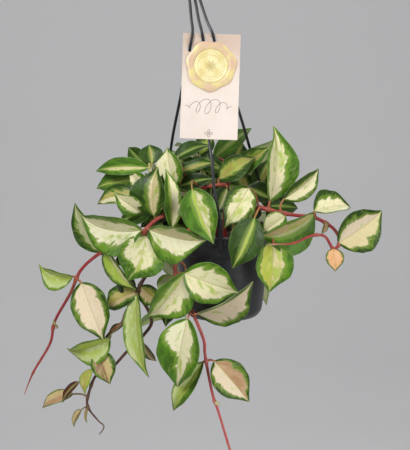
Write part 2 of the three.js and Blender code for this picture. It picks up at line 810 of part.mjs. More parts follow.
// A point near the card: right of and above the seal's middle, and off the card's back face.
function onCard(right, above, standOff) {
  const flat = new THREE.Vector3(right, above - SEAL_BELOW_TOP, standOff);
  flat.applyAxisAngle(new THREE.Vector3(0, 0, 1), -CARD_LEAN);
  return flat.applyAxisAngle(new THREE.Vector3(1, 0, 0), Math.PI / 2 - CARD_TILT).add(CARD_TOP);
}

// Each strap comes down in front of the card's top edge, goes through the card beside the seal
// and runs on behind the card to its clip.
const strapTop = (x, y) => new THREE.Vector3(x, y, -HUB_DROP - 1.4);
const STRAP_TOPS = { left: strapTop(-3.8, 0), front: strapTop(0, -3.8), right: strapTop(3.8, 0) };
const STRAP_ROUTES = {
  left: [
    at([-33.5, 228, 3]),
    at([-31.7, 209, 9]),
    onCard(-21.6, 38, 3.1),
    onCard(-23.3, 23.5, 2.8),
    onCard(-24, 18.4, 0.4),
    onCard(-24.4, 13.5, -1.9),
    onCard(-27, 3, -5),
    at([-43, 128, 3]),
    at([-50.5, 90, -11]),
    at([-54, 60, -20]),
    at([-53, 38, -24]),
  ],
  front: [
    at([-28, 228, 6]),
    at([-24.2, 208, 10.5]),
    onCard(-11.6, 38.5, 3.1),
    onCard(-10.5, 33.6, 2.8),
    onCard(-9.4, 28.6, 0.1),
    onCard(-8.8, 24.5, -1.8),
    onCard(-6, 5, -2.2),
    onCard(-2, -40, -2),
    onCard(0.8, -83, -2),
    at([-10.8, 67, 40]),
    at([-9, 40, 47]),
  ],
  right: [
    at([-23, 228, 4]),
    at([-15.6, 206, 10]),
    onCard(-0.6, 39, 3.1),
    onCard(1.1, 34.4, 2.8),
    onCard(2.6, 29.8, 0.1),
    onCard(3.9, 25.6, -1.8),
    onCard(9, 14, -5),
    at([15.5, 118, 2]),
    at([27, 79.5, -11]),
    at([38, 42, -23]),
  ],
};
const STRAP_PASSES = [
  [-23.9, 18.4],
  [-9.4, 28.9],
  [2.6, 30.1],
];

const STRAP_STEPS = 40;
function strapSolid(side) {
  const top = STRAP_TOPS[side];
  const clipTop = onPot(STRAP_CLIPS[side], LIP_RADIUS + CLEARANCE + CLIP_PLATE / 2, CLIP_RISE);
  const points = [
    top,
    top.clone().setZ(top.z - 8),
    ...STRAP_ROUTES[side],
    clipTop,
    clipTop.clone().setZ(clipTop.z - 6),
  ];
  return joined([
    frontStrip(points, STRAP_WIDTH, STRAP_THICKNESS, STRAP_STEPS),
    clipSolid(STRAP_CLIPS[side]),
  ]);
}

// Tag: a card with an arc slit for the straps, and a round seal over it

const SLIT_INNER = 22.5;
const SLIT_OUTER = 27;
const SLIT_FROM = THREE.MathUtils.degToRad(66);
const SLIT_TO = THREE.MathUtils.degToRad(214);
const PASS_RADIUS = 4;

// Drawn flat, face up and top edge at y = 0, then turned a little, stood up, tilted back and hung.
function hungFlat(geometry) {
  geometry.rotateZ(-CARD_LEAN).rotateX(Math.PI / 2 - CARD_TILT);
  return solidOf(geometry.translate(CARD_TOP.x, CARD_TOP.y, CARD_TOP.z));
}

function cardSolid() {
  const half = CARD_WIDTH / 2;
  const card = new THREE.Shape([
    new THREE.Vector2(-half, 0),
    new THREE.Vector2(-half, -CARD_HEIGHT),
    new THREE.Vector2(half, -CARD_HEIGHT),
    new THREE.Vector2(half, 0),
  ]);
  const slit = new THREE.Path();
  slit.absarc(0, -SEAL_BELOW_TOP, SLIT_OUTER, SLIT_FROM, SLIT_TO, false);
  slit.absarc(0, -SEAL_BELOW_TOP, SLIT_INNER, SLIT_TO, SLIT_FROM, true);
  card.holes.push(slit);
  let solid = hungFlat(
    new THREE.ExtrudeGeometry(card, { depth: CARD_THICKNESS, bevelEnabled: false, curveSegments: 9 }),
  );
  for (const [right, above] of STRAP_PASSES) {
    const pass = new THREE.CylinderGeometry(PASS_RADIUS, PASS_RADIUS, 4, 8).rotateX(Math.PI / 2);
    solid = solid.subtract(hungFlat(pass.translate(right, above - SEAL_BELOW_TOP, 0)));
  }
  return solid;
}

const SEAL_POINTS = 48;
const SEAL_LUMPS = 7;
function sealSolid() {
  const edge = [];
  for (let index = 0; index < SEAL_POINTS; index += 1) {
    const angle = (2 * Math.PI * index) / SEAL_POINTS;
    const radius = SEAL_RADIUS * (1 + 0.035 * Math.sin(SEAL_LUMPS * angle) + 0.03 * Math.sin(3 * angle + 1));
    edge.push(new THREE.Vector2(radius * Math.cos(angle), radius * Math.sin(angle) - SEAL_BELOW_TOP));
  }
  const seal = new THREE.ExtrudeGeometry(new THREE.Shape(edge), {
    depth: SEAL_THICKNESS,
    bevelEnabled: false,
  });
  return hungFlat(seal.translate(0, 0, CARD_THICKNESS + CLEARANCE));
}

// Materials

const finish = (color, roughness, metalness = 0) =>
  new THREE.MeshStandardMaterial({ color, roughness, metalness });
const leafFinish = finish("#7fa04f", 0.4);
const potFinish = finish("#26262b", 0.45);
const strapFinish = finish("#101014", 0.4);
const soilFinish = finish("#3a2c22", 0.95);
const cardFinish = finish("#e0d2bd", 0.7);
const sealFinish = finish("#d3a545", 0.45, 0.2);

// The whole object

const plant = new THREE.Group();
const feet = Object.values(SPRAYS).flatMap((stems) => stems.map((stem) => stem.foot));
for (const [name, stems] of Object.entries(SPRAYS)) {
  plant.add(meshOf(name, wholeBody(joined(stems.flatMap(stemSolids))), leafFinish));
}
plant.add(meshOf("pot", potSolid(), potFinish));
plant.add(meshOf("soil", soilSolid(feet), soilFinish));
plant.add(meshOf("hanger_hook", hookSolid(Object.values(STRAP_TOPS)), strapFinish));
for (const side of Object.keys(STRAP_CLIPS)) {
  plant.add(meshOf("strap_" + side, strapSolid(side), strapFinish));
}
plant.add(meshOf("tag_card", cardSolid(), cardFinish));
plant.add(meshOf("tag_seal", sealSolid(), sealFinish));

export default plant;
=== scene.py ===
import math

import bmesh
import bpy
from mathutils import Matrix, Vector


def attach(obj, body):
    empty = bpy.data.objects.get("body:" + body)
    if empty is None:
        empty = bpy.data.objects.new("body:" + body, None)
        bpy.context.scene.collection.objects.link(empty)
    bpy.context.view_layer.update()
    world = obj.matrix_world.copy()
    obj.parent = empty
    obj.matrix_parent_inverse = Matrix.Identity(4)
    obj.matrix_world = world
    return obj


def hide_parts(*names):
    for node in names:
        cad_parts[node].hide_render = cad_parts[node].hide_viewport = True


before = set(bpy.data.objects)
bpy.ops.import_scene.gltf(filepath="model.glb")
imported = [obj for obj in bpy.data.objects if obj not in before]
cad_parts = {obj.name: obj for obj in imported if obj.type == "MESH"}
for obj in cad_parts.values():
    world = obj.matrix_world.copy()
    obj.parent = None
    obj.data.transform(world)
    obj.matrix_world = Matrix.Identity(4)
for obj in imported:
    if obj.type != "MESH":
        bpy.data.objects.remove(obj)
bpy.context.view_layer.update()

# The drawing grid, in metres: the plant is drawn as seen from the front, in steps of a 52nd of the
# pot's rim radius, right of and above the middle of the rim, and in front of the pot's axis.
RIM_RADIUS = 0.060
GRID = RIM_RADIUS / 52
VIEW_TILT = math.radians(11)
VIEW_RANGE = 1.5
VIEW_RIGHT = -18
VIEW_UP = 3
PICTURE_HEIGHT = 450
HANG_HEIGHT = 0.338
HANG_OFFSET = 0.040


def at(right, up, front):
    """The place of a drawing-grid point."""
    lift = up - VIEW_UP
    slope = math.tan(VIEW_TILT)
    steps = VIEW_RANGE / GRID
    depth = (front / math.cos(VIEW_TILT) + up * slope) / (1 + lift * slope / steps)
    shrink = 1 - depth / steps
    seen_right = (right - VIEW_RIGHT) * shrink + VIEW_RIGHT
    seen_up = lift * shrink + VIEW_UP
    height = (seen_up + front * math.sin(VIEW_TILT)) / math.cos(VIEW_TILT)
    return Vector((HANG_OFFSET + seen_right * GRID, -front * GRID, height * GRID - HANG_HEIGHT))


def towards(right, up, front):
    """A direction given as right, up and towards the front."""
    return Vector((right, -front, up))


def on_pot(degrees, radius, height):
    """A place given as an angle round the pot, a radius and a height above the rim."""
    turn = math.radians(degrees)
    return Vector((HANG_OFFSET + radius * math.cos(turn), radius * math.sin(turn), height - HANG_HEIGHT))


# Leaf colours as eyes see them
PAINTS = {
    "milk": "#dedcb8",
    "cream": "#dcd6ae",
    "rose": "#d7c7aa",
    "beige": "#cfc393",
    "tan": "#c3ad7c",
    "ash": "#a9ae80",
    "lime": "#9ab53a",
    "mist": "#b9c888",
    "olive": "#a9a24e",
    "yellow": "#bcc14a",
    "dark": "#2b480a",
    # painted shade: a green darker than the leaves' own, for the margins of leaves deep in the foliage
    "night": "#1c2f08",
    "mid": "#476f18",
    "light": "#6f9336",
    "brown": "#84603f",
    "umber": "#43301f",
    "clay": "#ad8763",
    "orange": "#d9a16b",
    "red": "#96202a",
    "wine": "#4d2022",
    "pink": "#bb4c4e",
}


def linear(hex_colour):
    """A hex colour as the linear numbers that materials use."""
    values = [int(hex_colour[start:start + 2], 16) / 255 for start in (1, 3, 5)]
    return [v / 12.92 if v <= 0.04045 else ((v + 0.055) / 1.055) ** 2.4 for v in values]


def paint(name):
    return linear(PAINTS[name])


# Stems and leaves. A leaf is its base, its tip, its width, then its look: how far the pale field
# reaches on the left and on the right half as seen with the tip up, the two pale colours, the
# margin's colour, the share of lime streaks and of green flecks, and, where it ends short of the
# tip, how far along the leaf the pale field runs on each half; then, where it isn't the usual one,
# its shape. Where one half's pale colour (olive, tan, beige, rose) is darker than the other's, it
# is partly the leaf's own tone and partly painted shade on the half that the fold turns from the
# light.
# Leaves deep in the foliage, whose margin green is darkened to paint the shade they sit in
SHADED_GREEN = (0, 0, "light", "light", "night", 0, 0)
FULL_GREEN = (0, 0, "light", "light", "dark", 0, 0)

UPPER_LEFT = {
    "foot": (-22, 16),
    "bark": "olive",
    "path": [(-42, 10, 26), (-56, 16, 34), (-66, 30, 34), (-70, 46, 30), (-73, 58, 24), (-74, 64, 20)],
    "leaves": [
        ((-51, 0, 47), (-56, 60, 32), 20, (0.2, 0.7, "lime", "cream", "mid", 0.2, 0.1),
         {"face": (0.5, 0.2, 1)}),
        ((-68.6, 11.5, 46), (-66.5, 61.4, 38), 43, (0.16, 0.42, "beige", "beige", "dark", 0.3, 0.3),
         {"arch": 0.1, "fold": 25}),
        ((-82, 16, 40), (-109, 35, 50), 21, (0.45, 0.82, "cream", "cream", "mid", 0.1, 0.1)),
        ((-84, 31, 33), (-127, 25, 16), 26, (0.8, 0.45, "cream", "olive", "dark", 0.15, 0.1),
         {"face": (-0.3, 0.8, 0.7), "arch": 0.12}),
        ((-75, 41, 32), (-95, 56, 26), 16, (0.85, 0.45, "cream", "cream", "mid", 0.1, 0.1)),
        ((-48, 42, 16), (-56.5, 80.4, 10), 29, (0.95, 0.5, "cream", "cream", "mid", 0.2, 0.1)),
        ((-60, 38, 24), (-61, 54, 26), 8, (0, 0, "olive", "olive", "night", 0, 0)),
        ((-71, 64, 12), (-74, 84, 2), 24, (0.05, 0.12, "olive", "olive", "dark", 0.1, 0.1),
         {"face": (0, 0.9, 0.5)}),
        ((-74, 60, 12), (-95.5, 81.3, -8), 18, FULL_GREEN),
        ((-74.4, 60, 24), (-128.6, 57.4, 6), 19, (0.4, 0.05, "beige", "light", "mid", 0.5, 0.2, 0.9, 0.6),
         {"arch": 0.14}),
        ((-80, 50, 14), (-130, 41, -8), 23, (0.2, 0.05, "lime", "light", "mid", 0.3, 0), {"hook": 0.12}),
        ((-66, 20, 26), (-47, 46, 12), 22, (0, 0.1, "light", "light", "night", 0, 0)),
        ((-60, 10, 30), (-34, -3, 36), 19, SHADED_GREEN),
        ((-70, 18, 32), (-105, 5, 32), 24, FULL_GREEN),
        ((-54, 17, 30), (-83, 1, 34), 22, SHADED_GREEN),
    ],
}
LEFT_TRAIL = {
    "foot": (-14, 26),
    "bark": "red",
    "knots": [(-190, -144.5, 22)],
    "path": [
        (-34, 9, 38), (-50, 13, 41), (-62, 11, 49), (-71, 5, 55), (-79, -3.6, 57),
        (-100, -14, 49), (-122, -24.5, 42),
        (-142, -42, 36), (-152.5, -65, 32), (-168.6, -94.5, 28), (-172.4, -114, 26), (-190, -145, 22),
        (-199, -167, 20),
    ],
    "leaves": [
        ((-81, -2, 62), (-144, 12, 46), 50, (0.55, 0.6, "milk", "cream", "mid", 0.3, 0.25),
         {"face": (-0.2, -0.36, 1), "fold": 27, "bend": -0.07, "arch": 0.08}),
        ((-122, -24, 40), (-150, 24.7, 26), 28, (0.35, 0.62, "ash", "ash", "dark", 0.1, 0.6)),
        ((-74, -1.5, 61), (-16.6, -14, 62), 50, (0.62, 0.6, "beige", "milk", "mid", 0.3, 0.2),
         {"face": (-0.1, -0.5, 1), "fold": 28}),
        ((-77, -7, 55), (-95, -53, 59), 47, (0.55, 0.8, "cream", "cream", "mid", 0.5, 0.4, 0.85, 0.75),
         {"face": (0.2, 0.2, 1), "bend": -0.06}),
        ((-118, -21, 42), (-88, -63, 46), 22, (0.5, 0.65, "cream", "lime", "dark", 0.4, 0.4), {"fold": 30}),
        ((-104, -27, 42), (-94, -39, 38), 12, (0, 0, "olive", "olive", "night", 0, 0)),
        ((-150, -48.5, 36), (-185.4, -37, 28), 31, (0.8, 0.6, "mist", "mist", "mid", 0.85, 0.3),
         {"face": (-0.3, -0.5, 1), "fold": 34, "bend": -0.08}),
        ((-141.8, -54.7, 38), (-119.6, -112.8, 57), 38, (0.62, 0.66, "rose", "rose", "dark", 0.12, 0.3),
         {"face": (0, 0.3, 1)}),
        ((-165, -99, 30), (-170, -92, 32), 4, (0.4, 0.4, "orange", "orange", "brown", 0, 0)),
    ],
}
LOW_LEFT = {
    "foot": (-30, 14),
    "bark": "wine",
    "path": [
        (-50, 4, 28), (-60, -12, 30), (-69, -36, 32), (-84, -62, 36), (-74, -84, 38), (-71.4, -94.5, 38),
        (-79, -106.7, 34), (-97.4, -125, 30), (-109.6, -138, 28), (-126, -146.5, 26), (-132.6, -160, 26),
        (-135.6, -177, 28), (-125, -192.4, 30), (-119, -198.5, 32), (-124, -207, 32),
    ],
    "branches": [[
        (-84, -62, 36), (-97, -84, 40), (-102, -97.5, 42), (-115.7, -108, 40), (-126, -125, 34),
        (-132.6, -134, 29), (-126, -146.5, 26),
    ]],
    "leaves": [
        ((-84, -62, 36), (-119, -80, 26), 27, (0.42, 0.5, "tan", "olive", "dark", 0.3, 0.4)),
        ((-86, -66, 41), (-76.7, -151, 50), 28, (0.6, 0.85, "mist", "mist", "mid", 0.85, 0.5), {"fold": 30}),
        ((-82, -58, 36), (-62, -76, 36), 22, (0.5, 0.6, "olive", "tan", "dark", 0.2, 0.4)),
        ((-113, -110, 42), (-157.5, -125, 31), 37, (0.8, 0.65, "mist", "lime", "mid", 0.9, 0.4),
         {"face": (0.1, -0.5, 1), "fold": 30, "hook": 0.14}),
        ((-124, -122, 34), (-113, -156.5, 42), 25, (0.6, 0.7, "tan", "brown", "dark", 0.2, 0.4),
         {"face": (0, 0.3, 1)}),
        ((-131, -141, 30), (-139, -166, 38), 18, (0.8, 0.8, "yellow", "olive", "light", 0.3, 0.2)),
        ((-150, -166, 24), (-182, -180, 14), 15, (0.8, 0.75, "clay", "tan", "umber", 0, 0.3),
         {"bend": 0.06}),
        ((-144, -154, 30), (-161.5, -174.5, 27), 11, (0, 0.1, "wine", "red", "wine", 0, 0)),
        ((-141.8, -181.7, 28), (-150, -199, 24), 10, (0.7, 0.7, "brown", "tan", "umber", 0, 0.2)),
        ((-79, -116, 32), (-66.7, -134, 24), 12, (0.4, 0.4, "brown", "tan", "umber", 0, 0.2)),
        ((-101, -96, 43), (-115, -109, 45), 8, (0.3, 0.3, "red", "red", "wine", 0, 0), {"fold": 40}),
        ((-88, -62, 32), (-106, -48, 26), 20, (0.2, 0.4, "light", "olive", "night", 0, 0.2)),
        ((-135, -179, 27), (-137, -195, 27), 4, (0.5, 0.5, "clay", "clay", "brown", 0, 0)),
    ],
}
LOW_FRONT = {
    "foot": (-4, 34),
    "bark": "pink",
    "tip": 1.3,
    "path": [
        (-16, 9, 42), (-28, 5, 51), (-40, -14, 48), (-48, -38, 45), (-44, -56, 47), (-37.3, -73, 48),
        (-29.5, -87, 47), (-18.8, -113.8, 47), (-18.2, -124, 47), (-15, -144.4, 47), (-9.2, -171, 47),
        (-5.4, -181.4, 47), (6.7, -221, 40), (11, -234, 37),
    ],
    "leaves": [
        ((-50, -48, 46), (-65, -66, 48), 17, (0.5, 0.6, "lime", "ash", "light", 0.3, 0.2)),
        ((-37, -44, 54), (-76, -91, 51), 48, (0.62, 0.35, "cream", "mist", "mid", 0.3, 0.3),
         {"face": (0.5, -0.1, 1), "fold": 30}),
        ((-44, -58, 44), (-58.7, -99, 44), 25, (0.1, 0.1, "light", "light", "dark", 0.1, 0)),
        ((-39, -45.5, 54), (15.6, -65, 55), 42, (0.58, 0.68, "cream", "cream", "mid", 0.3, 0.35),
         {"face": (0, 0.1, 1)}),
        ((-25.2, -86, 57), (31, -56.4, 72), 48, (0.1, 0.66, "beige", "rose", "dark", 0.15, 0.25),
         {"face": (0.48, -0.68, 1), "fold": 30}),
        ((-35.5, -90.5, 58), (-47, -160.4, 55), 46,
         (0.55, 0.74, "cream", "milk", "mid", 0.25, 0.3, 1.0, 0.58)),
        ((-20, -134, 44), (-51.3, -184, 31), 24, (0.35, 0.85, "lime", "mist", "mid", 0.7, 0.3),
         {"fold": 35}),
        ((-8.6, -133, 49), (26.5, -173.8, 60), 36, (0.6, 0.66, "clay", "rose", "dark", 0.1, 0.25)),
        ((-8, -174, 48), (-3, -177, 50), 4, (0.5, 0.5, "rose", "rose", "ash", 0, 0)),
    ],
}
CENTRE_TOP = {
    "foot": (2, -6),
    "bark": "red",
    "path": [(2, 24, 0), (3.4, 42, 6), (-10, 42.5, 10), (-23, 40.4, 10), (-36, 52, 4), (-46, 72, -4)],
    "branches": [[(2, 30, 2), (5, 42, 4), (8, 56, 2), (2, 66, -4), (-6, 71, -7)]],
    "leaves": [
        ((-31, 39, 48), (-10, -15.6, 67), 36, (0.42, 0.14, "cream", "lime", "mid", 0.6, 0.3), {"arch": 0.1}),
        ((-49, 68, -6), (-13, 84, -10), 21, (0.03, 0.03, "light", "light", "dark", 0, 0),
         {"face": (0, 0.9, 0.6)}),
        ((-45, 56, 0), (-9, 66, 2), 19, (0.1, 0.5, "light", "olive", "dark", 0, 0), {"face": (0, 0.8, 0.7)}),
        ((-42, 42, 6), (-10, 50, 14), 18, SHADED_GREEN),
        ((-9, 70, -10), (28.8, 100.9, -24), 21, (0.05, 0.1, "light", "light", "mid", 0.1, 0)),
        ((-4, 49, 8), (32, 71.3, 6), 26, (0.5, 0.25, "olive", "olive", "dark", 0.5, 0.1)),
        ((8, 53, 0), (47, 81.4, -5), 22, (0.45, 0.4, "lime", "olive", "mid", 0.3, 0.1)),
        ((4, 40, 12), (-7, 12, 28), 21, (0.2, 0.1, "ash", "light", "night", 0.2, 0)),
        ((-14, 42, 6), (-38, 20, 14), 22, SHADED_GREEN),
        ((-2, 58, -2), (-27, 71, -11), 20, (0.1, 0.2, "light", "light", "dark", 0, 0)),
        ((10, 58, -4), (20, 86, -22), 20, (0.3, 0.1, "yellow", "light", "dark", 0.1, 0)),
    ],
}
RIGHT_TRAIL = {
    "foot": (20, 14),
    "bark": "red",
    "knots": [(93.4, -6.9, 41), (71.2, -15, 49)],
    "path": [
        (30, 12, 22), (34, 20, 26), (42.5, 19, 28), (58, 15, 30), (74, 12.6, 30), (90, 11, 28),
        (110.8, -1, 28), (117, -14, 30), (111, -21, 34), (102, -8.5, 38), (93.4, -6.9, 41),
        (83.6, -9.6, 45), (71.2, -15, 49), (42.4, -16.7, 53),
    ],
    "leaves": [
        ((47, 27, 22), (53, 102.6, 8), 45, (0.7, 0.45, "cream", "cream", "mid", 0.4, 0.2),
         {"face": (0.75, 0.2, 1), "fold": 30}),
        ((61, 29, 24), (97.2, 59.2, 10), 26, (0.25, 0.66, "ash", "cream", "dark", 0.1, 0.2),
         {"face": (0.38, -0.2, 1), "fold": 26}),
        ((47, 22, 20), (76, 20, 4), 17, FULL_GREEN),
        ((62, 12, 33), (38, -6, 43), 22, (0.3, 0.85, "cream", "cream", "mid", 0.1, 0.1),
         {"face": (0.2, 0.4, 1)}),
        ((91, 14, 34), (35, -9, 46), 52, (0.1, 0.66, "ash", "tan", "mid", 0.4, 0.3),
         {"face": (0.31, -0.5, 1), "fold": 30, "bend": -0.07}),
        ((49, -12, 41), (47, -65, 47), 42, (0.5, 0.66, "beige", "yellow", "mid", 0.6, 0.4),
         {"face": (0.35, 0.3, 1), "fold": 22}),
        ((91, 16.5, 32), (128.5, 22, 18), 40, (0.45, 0.8, "cream", "cream", "dark", 0.3, 0.2),
         {"face": (0.2, 1.8, 1), "fold": 25}),
        ((115, -15, 32), (160, 17, 22), 46, (0.5, 0.6, "rose", "beige", "dark", 0.1, 0.2),
         {"face": (0.35, 0.05, 1), "fold": 20}),
        ((110, -20.5, 36), (112.5, -43.5, 44), 19, (0.74, 0.74, "orange", "orange", "umber", 0, 0.1),
         {"face": (0.1, 0.3, 1)}),
        ((103, 6, 31), (99, -6, 35), 7, (0.5, 0.5, "brown", "brown", "umber", 0, 0)),
        ((26, 40, 24), (1.2, 0, 50), 31, (0.7, 0.55, "cream", "cream", "dark", 0.55, 0.2)),
        ((31.6, 10.4, 50), (9.9, -40.6, 60), 34, (0.13, 0.05, "lime", "lime", "dark", 0.2, 0.1)),
        ((24, 40, 12), (50, 28, 10), 22, (0, 0.1, "light", "light", "night", 0, 0)),
        ((34, 22, 22), (24, 6, 34), 16, (0, 0.1, "light", "light", "night", 0, 0)),
    ],
}
CENTRE_BACK = {
    "foot": (-10, -18),
    "bark": "olive",
    "path": [(-12, 22, -20), (-17, 44, -22), (-22, 60, -24), (-26, 72, -26)],
    "leaves": [
        ((-20, 32, -20), (-54, 38, -18), 26, (0.4, 0.2, "cream", "light", "dark", 0.3, 0.1)),
        ((-11, 32, -20), (20, 42, -21), 26, (0.2, 0.3, "light", "olive", "dark", 0.3, 0.1)),
        ((-25, 52, -22), (-46, 70, -25), 23, (0, 0.1, "light", "light", "dark", 0, 0)),
        ((-16, 52, -24), (12, 74, -27), 25, (0.1, 0.3, "light", "olive", "dark", 0.2, 0)),
        ((-15, 54, -28), (-4, 76, -56), 26, (0.75, 0.7, "cream", "rose", "mid", 0.2, 0.2),
         {"face": (0, 1, -0.2)}),
        ((-29, 72, -28), (-48, 84, -50), 22, (0.7, 0.4, "cream", "cream", "dark", 0.3, 0.1),
         {"face": (0, 1, -0.4)}),
        ((-24, 73, -26), (-10, 92, -36), 21, (0.3, 0.3, "lime", "lime", "dark", 0.2, 0)),
    ],
}
RIGHT_TOP = {
    "foot": (24, -22),
    "bark": "olive",
    "path": [(27, 16, -27), (29, 34, -31), (32, 50, -35), (34, 60, -37)],
    "leaves": [
        ((33, 39, -35), (47, 70, -38), 24, (0.1, 0.3, "lime", "olive", "dark", 0.3, 0)),
        ((37, 28, -40), (70, 22, -50), 25, (0.1, 0.2, "light", "olive", "dark", 0.2, 0)),
        ((26, 34, -32), (10, 56, -38), 24, (0.1, 0.4, "light", "olive", "dark", 0.3, 0.1)),
        ((38, 46, -38), (64, 58, -56), 25, (0.7, 0.7, "cream", "cream", "mid", 0.2, 0.2),
         {"face": (0.6, 1, -0.2)}),
        ((35, 28, -38), (68, 18, -60), 28, (0.7, 0.5, "rose", "cream", "mid", 0.3, 0.2),
         {"face": (0.8, 1, -0.2)}),
    ],
}

# The stems behind the pot follow a rule: each climbs over the rim at its own angle and hangs down
# outside the pot, with a pair of leaves at every node, turned a quarter from pair to pair.
FOOT_RING = 0.030
CLIMB_RING = 0.044
CLIMB_HEIGHT = 0.020
CREST_OUT = 0.009
CREST_HEIGHT = 0.010
HANG_OUT = 0.014
HANG_SPREAD = 0.004
HANG_SWAY = 16
FIRST_DROP = 0.016
NODE_SPACING = 0.042
BACK_LEAF = 0.066
BACK_STALK = 0.007
SOIL_DROP = 0.013
FOOT_SINK = 0.002
BACK_STEMS = {
    "stem_back_1": {"angle": 64, "nodes": 2, "drop": 0.020, "seed": 23},
    "stem_back_2": {"angle": 98, "nodes": 2, "drop": 0, "seed": 37},
    "stem_back_3": {"angle": 134, "nodes": 3, "drop": 0.020, "seed": 41},
    "stem_back_4": {"angle": 172, "nodes": 1, "drop": 0, "seed": 59},
}
BACK_LOOKS = [
    (0.8, 0.76, "cream", "cream", "mid", 0.15, 0.15),
    (0.6, 0.8, "rose", "cream", "mid", 0.3, 0.2),
    (0.3, 0.7, "yellow", "cream", "dark", 0.5, 0.2),
    (0.75, 0.4, "cream", "lime", "mid", 0.4, 0.1),
    (0.1, 0.15, "lime", "lime", "dark", 0.2, 0.1),
    (0.7, 0.74, "beige", "beige", "dark", 0.1, 0.2),
]
DRAW_PRIME = 2147483647


def seeded_draw(seed):
    """A function that gives the next number from 0 to 1 of a fixed row."""
    state = seed * 7919

    def draw():
        nonlocal state
        state = state * 16807 % DRAW_PRIME
        return state / DRAW_PRIME

    return draw


# Blade and stem sizes
BLADE_THICKNESS = 0.0015
BLADE_END = 0.0007
VEIN_SLOPE = 0.26
GROOVE_WIDTH = 0.0011
GROOVE_DEPTH = 0.0004
QUILT_DEPTH = 0.0006
STOUT_LEAF = 0.03
STALK_RADIUS = 0.0011
STEM_START = 0.0026
STEM_END = 0.0013
BRANCH_START = 0.0020
BRANCH_END = 0.0012
FOOT_DEPTH = 0.014
FOOT_RISE = 0.005
HOOK_START = 0.6
PATH_STEP = 0.002
SHORTEST_SPAN = 1e-6


def smooth_path(points, count=24):
    """A centripetal Catmull-Rom curve through the points, as many points on each stretch."""
    first = 2 * points[0] - points[1]
    last = 2 * points[-1] - points[-2]
    line = [first, *points, last]
    out = []
    for a, b, c, d in zip(line, line[1:], line[2:], line[3:]):
        gaps = (b - a, c - b, d - c)
        s0, s1, s2 = (max(gap.length_squared ** 0.25, SHORTEST_SPAN) for gap in gaps)
        leave = ((b - a) / s0 - (c - a) / (s0 + s1) + (c - b) / s1) * s1
        arrive = ((c - b) / s1 - (d - b) / (s1 + s2) + (d - c) / s2) * s1
        for step in range(count):
            t = step / count
            out.append(
                b
                + leave * t
                + (3 * (c - b) - 2 * leave - arrive) * t**2
                + (2 * (b - c) + leave + arrive) * t**3
            )
    out.append(points[-1].copy())
    return out


def even_path(points, step):
    """The same line with its points at even distances, as near the step as they can be."""
    lengths = [0.0]
    for a, b in zip(points, points[1:]):
        lengths.append(lengths[-1] + (b - a).length)
    count = max(2, round(lengths[-1] / step))
    out = []
    index = 0
    for number in range(count + 1):
        wanted = lengths[-1] * number / count
        while index < len(points) - 2 and lengths[index + 1] < wanted:
            index += 1
        span = max(lengths[index + 1] - lengths[index], 1e-9)
        out.append(points[index].lerp(points[index + 1], min(1, (wanted - lengths[index]) / span)))
    return out


def planted_path(foot, points):
    """A stem's line, which starts upright in its hole in the soil."""
    up = Vector((0, 0, 1))
    return smooth_path([foot - up * FOOT_DEPTH, foot, foot + up * FOOT_RISE, *points])


def foot_on_soil(right, front):
    """The place on the soil, in grid steps right of and before the pot's axis, where a stem comes up."""
    return Vector((HANG_OFFSET + right * GRID, -front * GRID, FOOT_SINK - SOIL_DROP - HANG_HEIGHT))


AHEAD_COST = 1.5
USUAL_TILT = 110


class Leaf:
    """One leaf: where it is, how its blade is bent, and how it is coloured."""

    def __init__(
        self, base, tip, width, face, look, seed, arch=0.07, fold=18, hook=0.06, bend=0.0, wave=0.03
    ):
        self.base = base
        self.length = (tip - base).length
        self.axis = (tip - base).normalized()
        self.normal = (face - self.axis * face.dot(self.axis)).normalized()
        self.side = self.axis.cross(self.normal)
        self.width = width
        self.look = look
        self.seed = seed
        self.arch = arch
        self.fold = math.radians(fold)
        self.hook = hook
        self.bend = bend
        self.wave = wave

    def spine(self, along):
        """A point on the blade's midrib."""
        rise = 4 * along * (1 - along)
        drop = max(0, (along - HOOK_START) / (1 - HOOK_START)) ** 2
        lift = self.length * (self.arch * rise - self.hook * drop)
        return (
            self.base + self.axis * self.length * along + self.side * self.length * self.bend * rise
            + self.normal * lift
        )

    def root(self, paths):
        """The stem's point that the leaf grows from: near its base, and not in front of it."""

        def cost(point):
            step = point - self.base
            return step.length + AHEAD_COST * max(0, step.dot(self.axis))

        return min((point for path in paths for point in path), key=cost)


def whole_stem(paths, leaves, bark, knots, tip):
    """All that a stem's mesh grows from. tip is how thick its end is, as a share."""
    return {"paths": paths, "leaves": leaves, "bark": bark, "knots": knots, "tip": tip}


def drawn_stem(row, seed):
    """The paths, radii and leaves of a stem drawn in the tables above."""
    foot = foot_on_soil(*row["foot"])
    trunk = even_path(planted_path(foot, [at(*p) for p in row["path"]]), PATH_STEP)
    paths = [(trunk, STEM_START, STEM_END)]
    for branch in row.get("branches", []):
        paths.append((even_path(smooth_path([at(*p) for p in branch]), PATH_STEP), BRANCH_START, BRANCH_END))
    leaves = []
    for number, (base, tip, width, look, *shape) in enumerate(row["leaves"]):
        form = dict(*shape)
        face = form.pop("face", (base[0] / USUAL_TILT, 0.5, 1))
        leaves.append(
            Leaf(at(*base), at(*tip), width * GRID, towards(*face), look, seed + number / 7, **form)
        )
    knots = [at(*place) for place in row.get("knots", [])]
    return whole_stem(paths, leaves, row["bark"], knots, row.get("tip", TIP_SHARE))


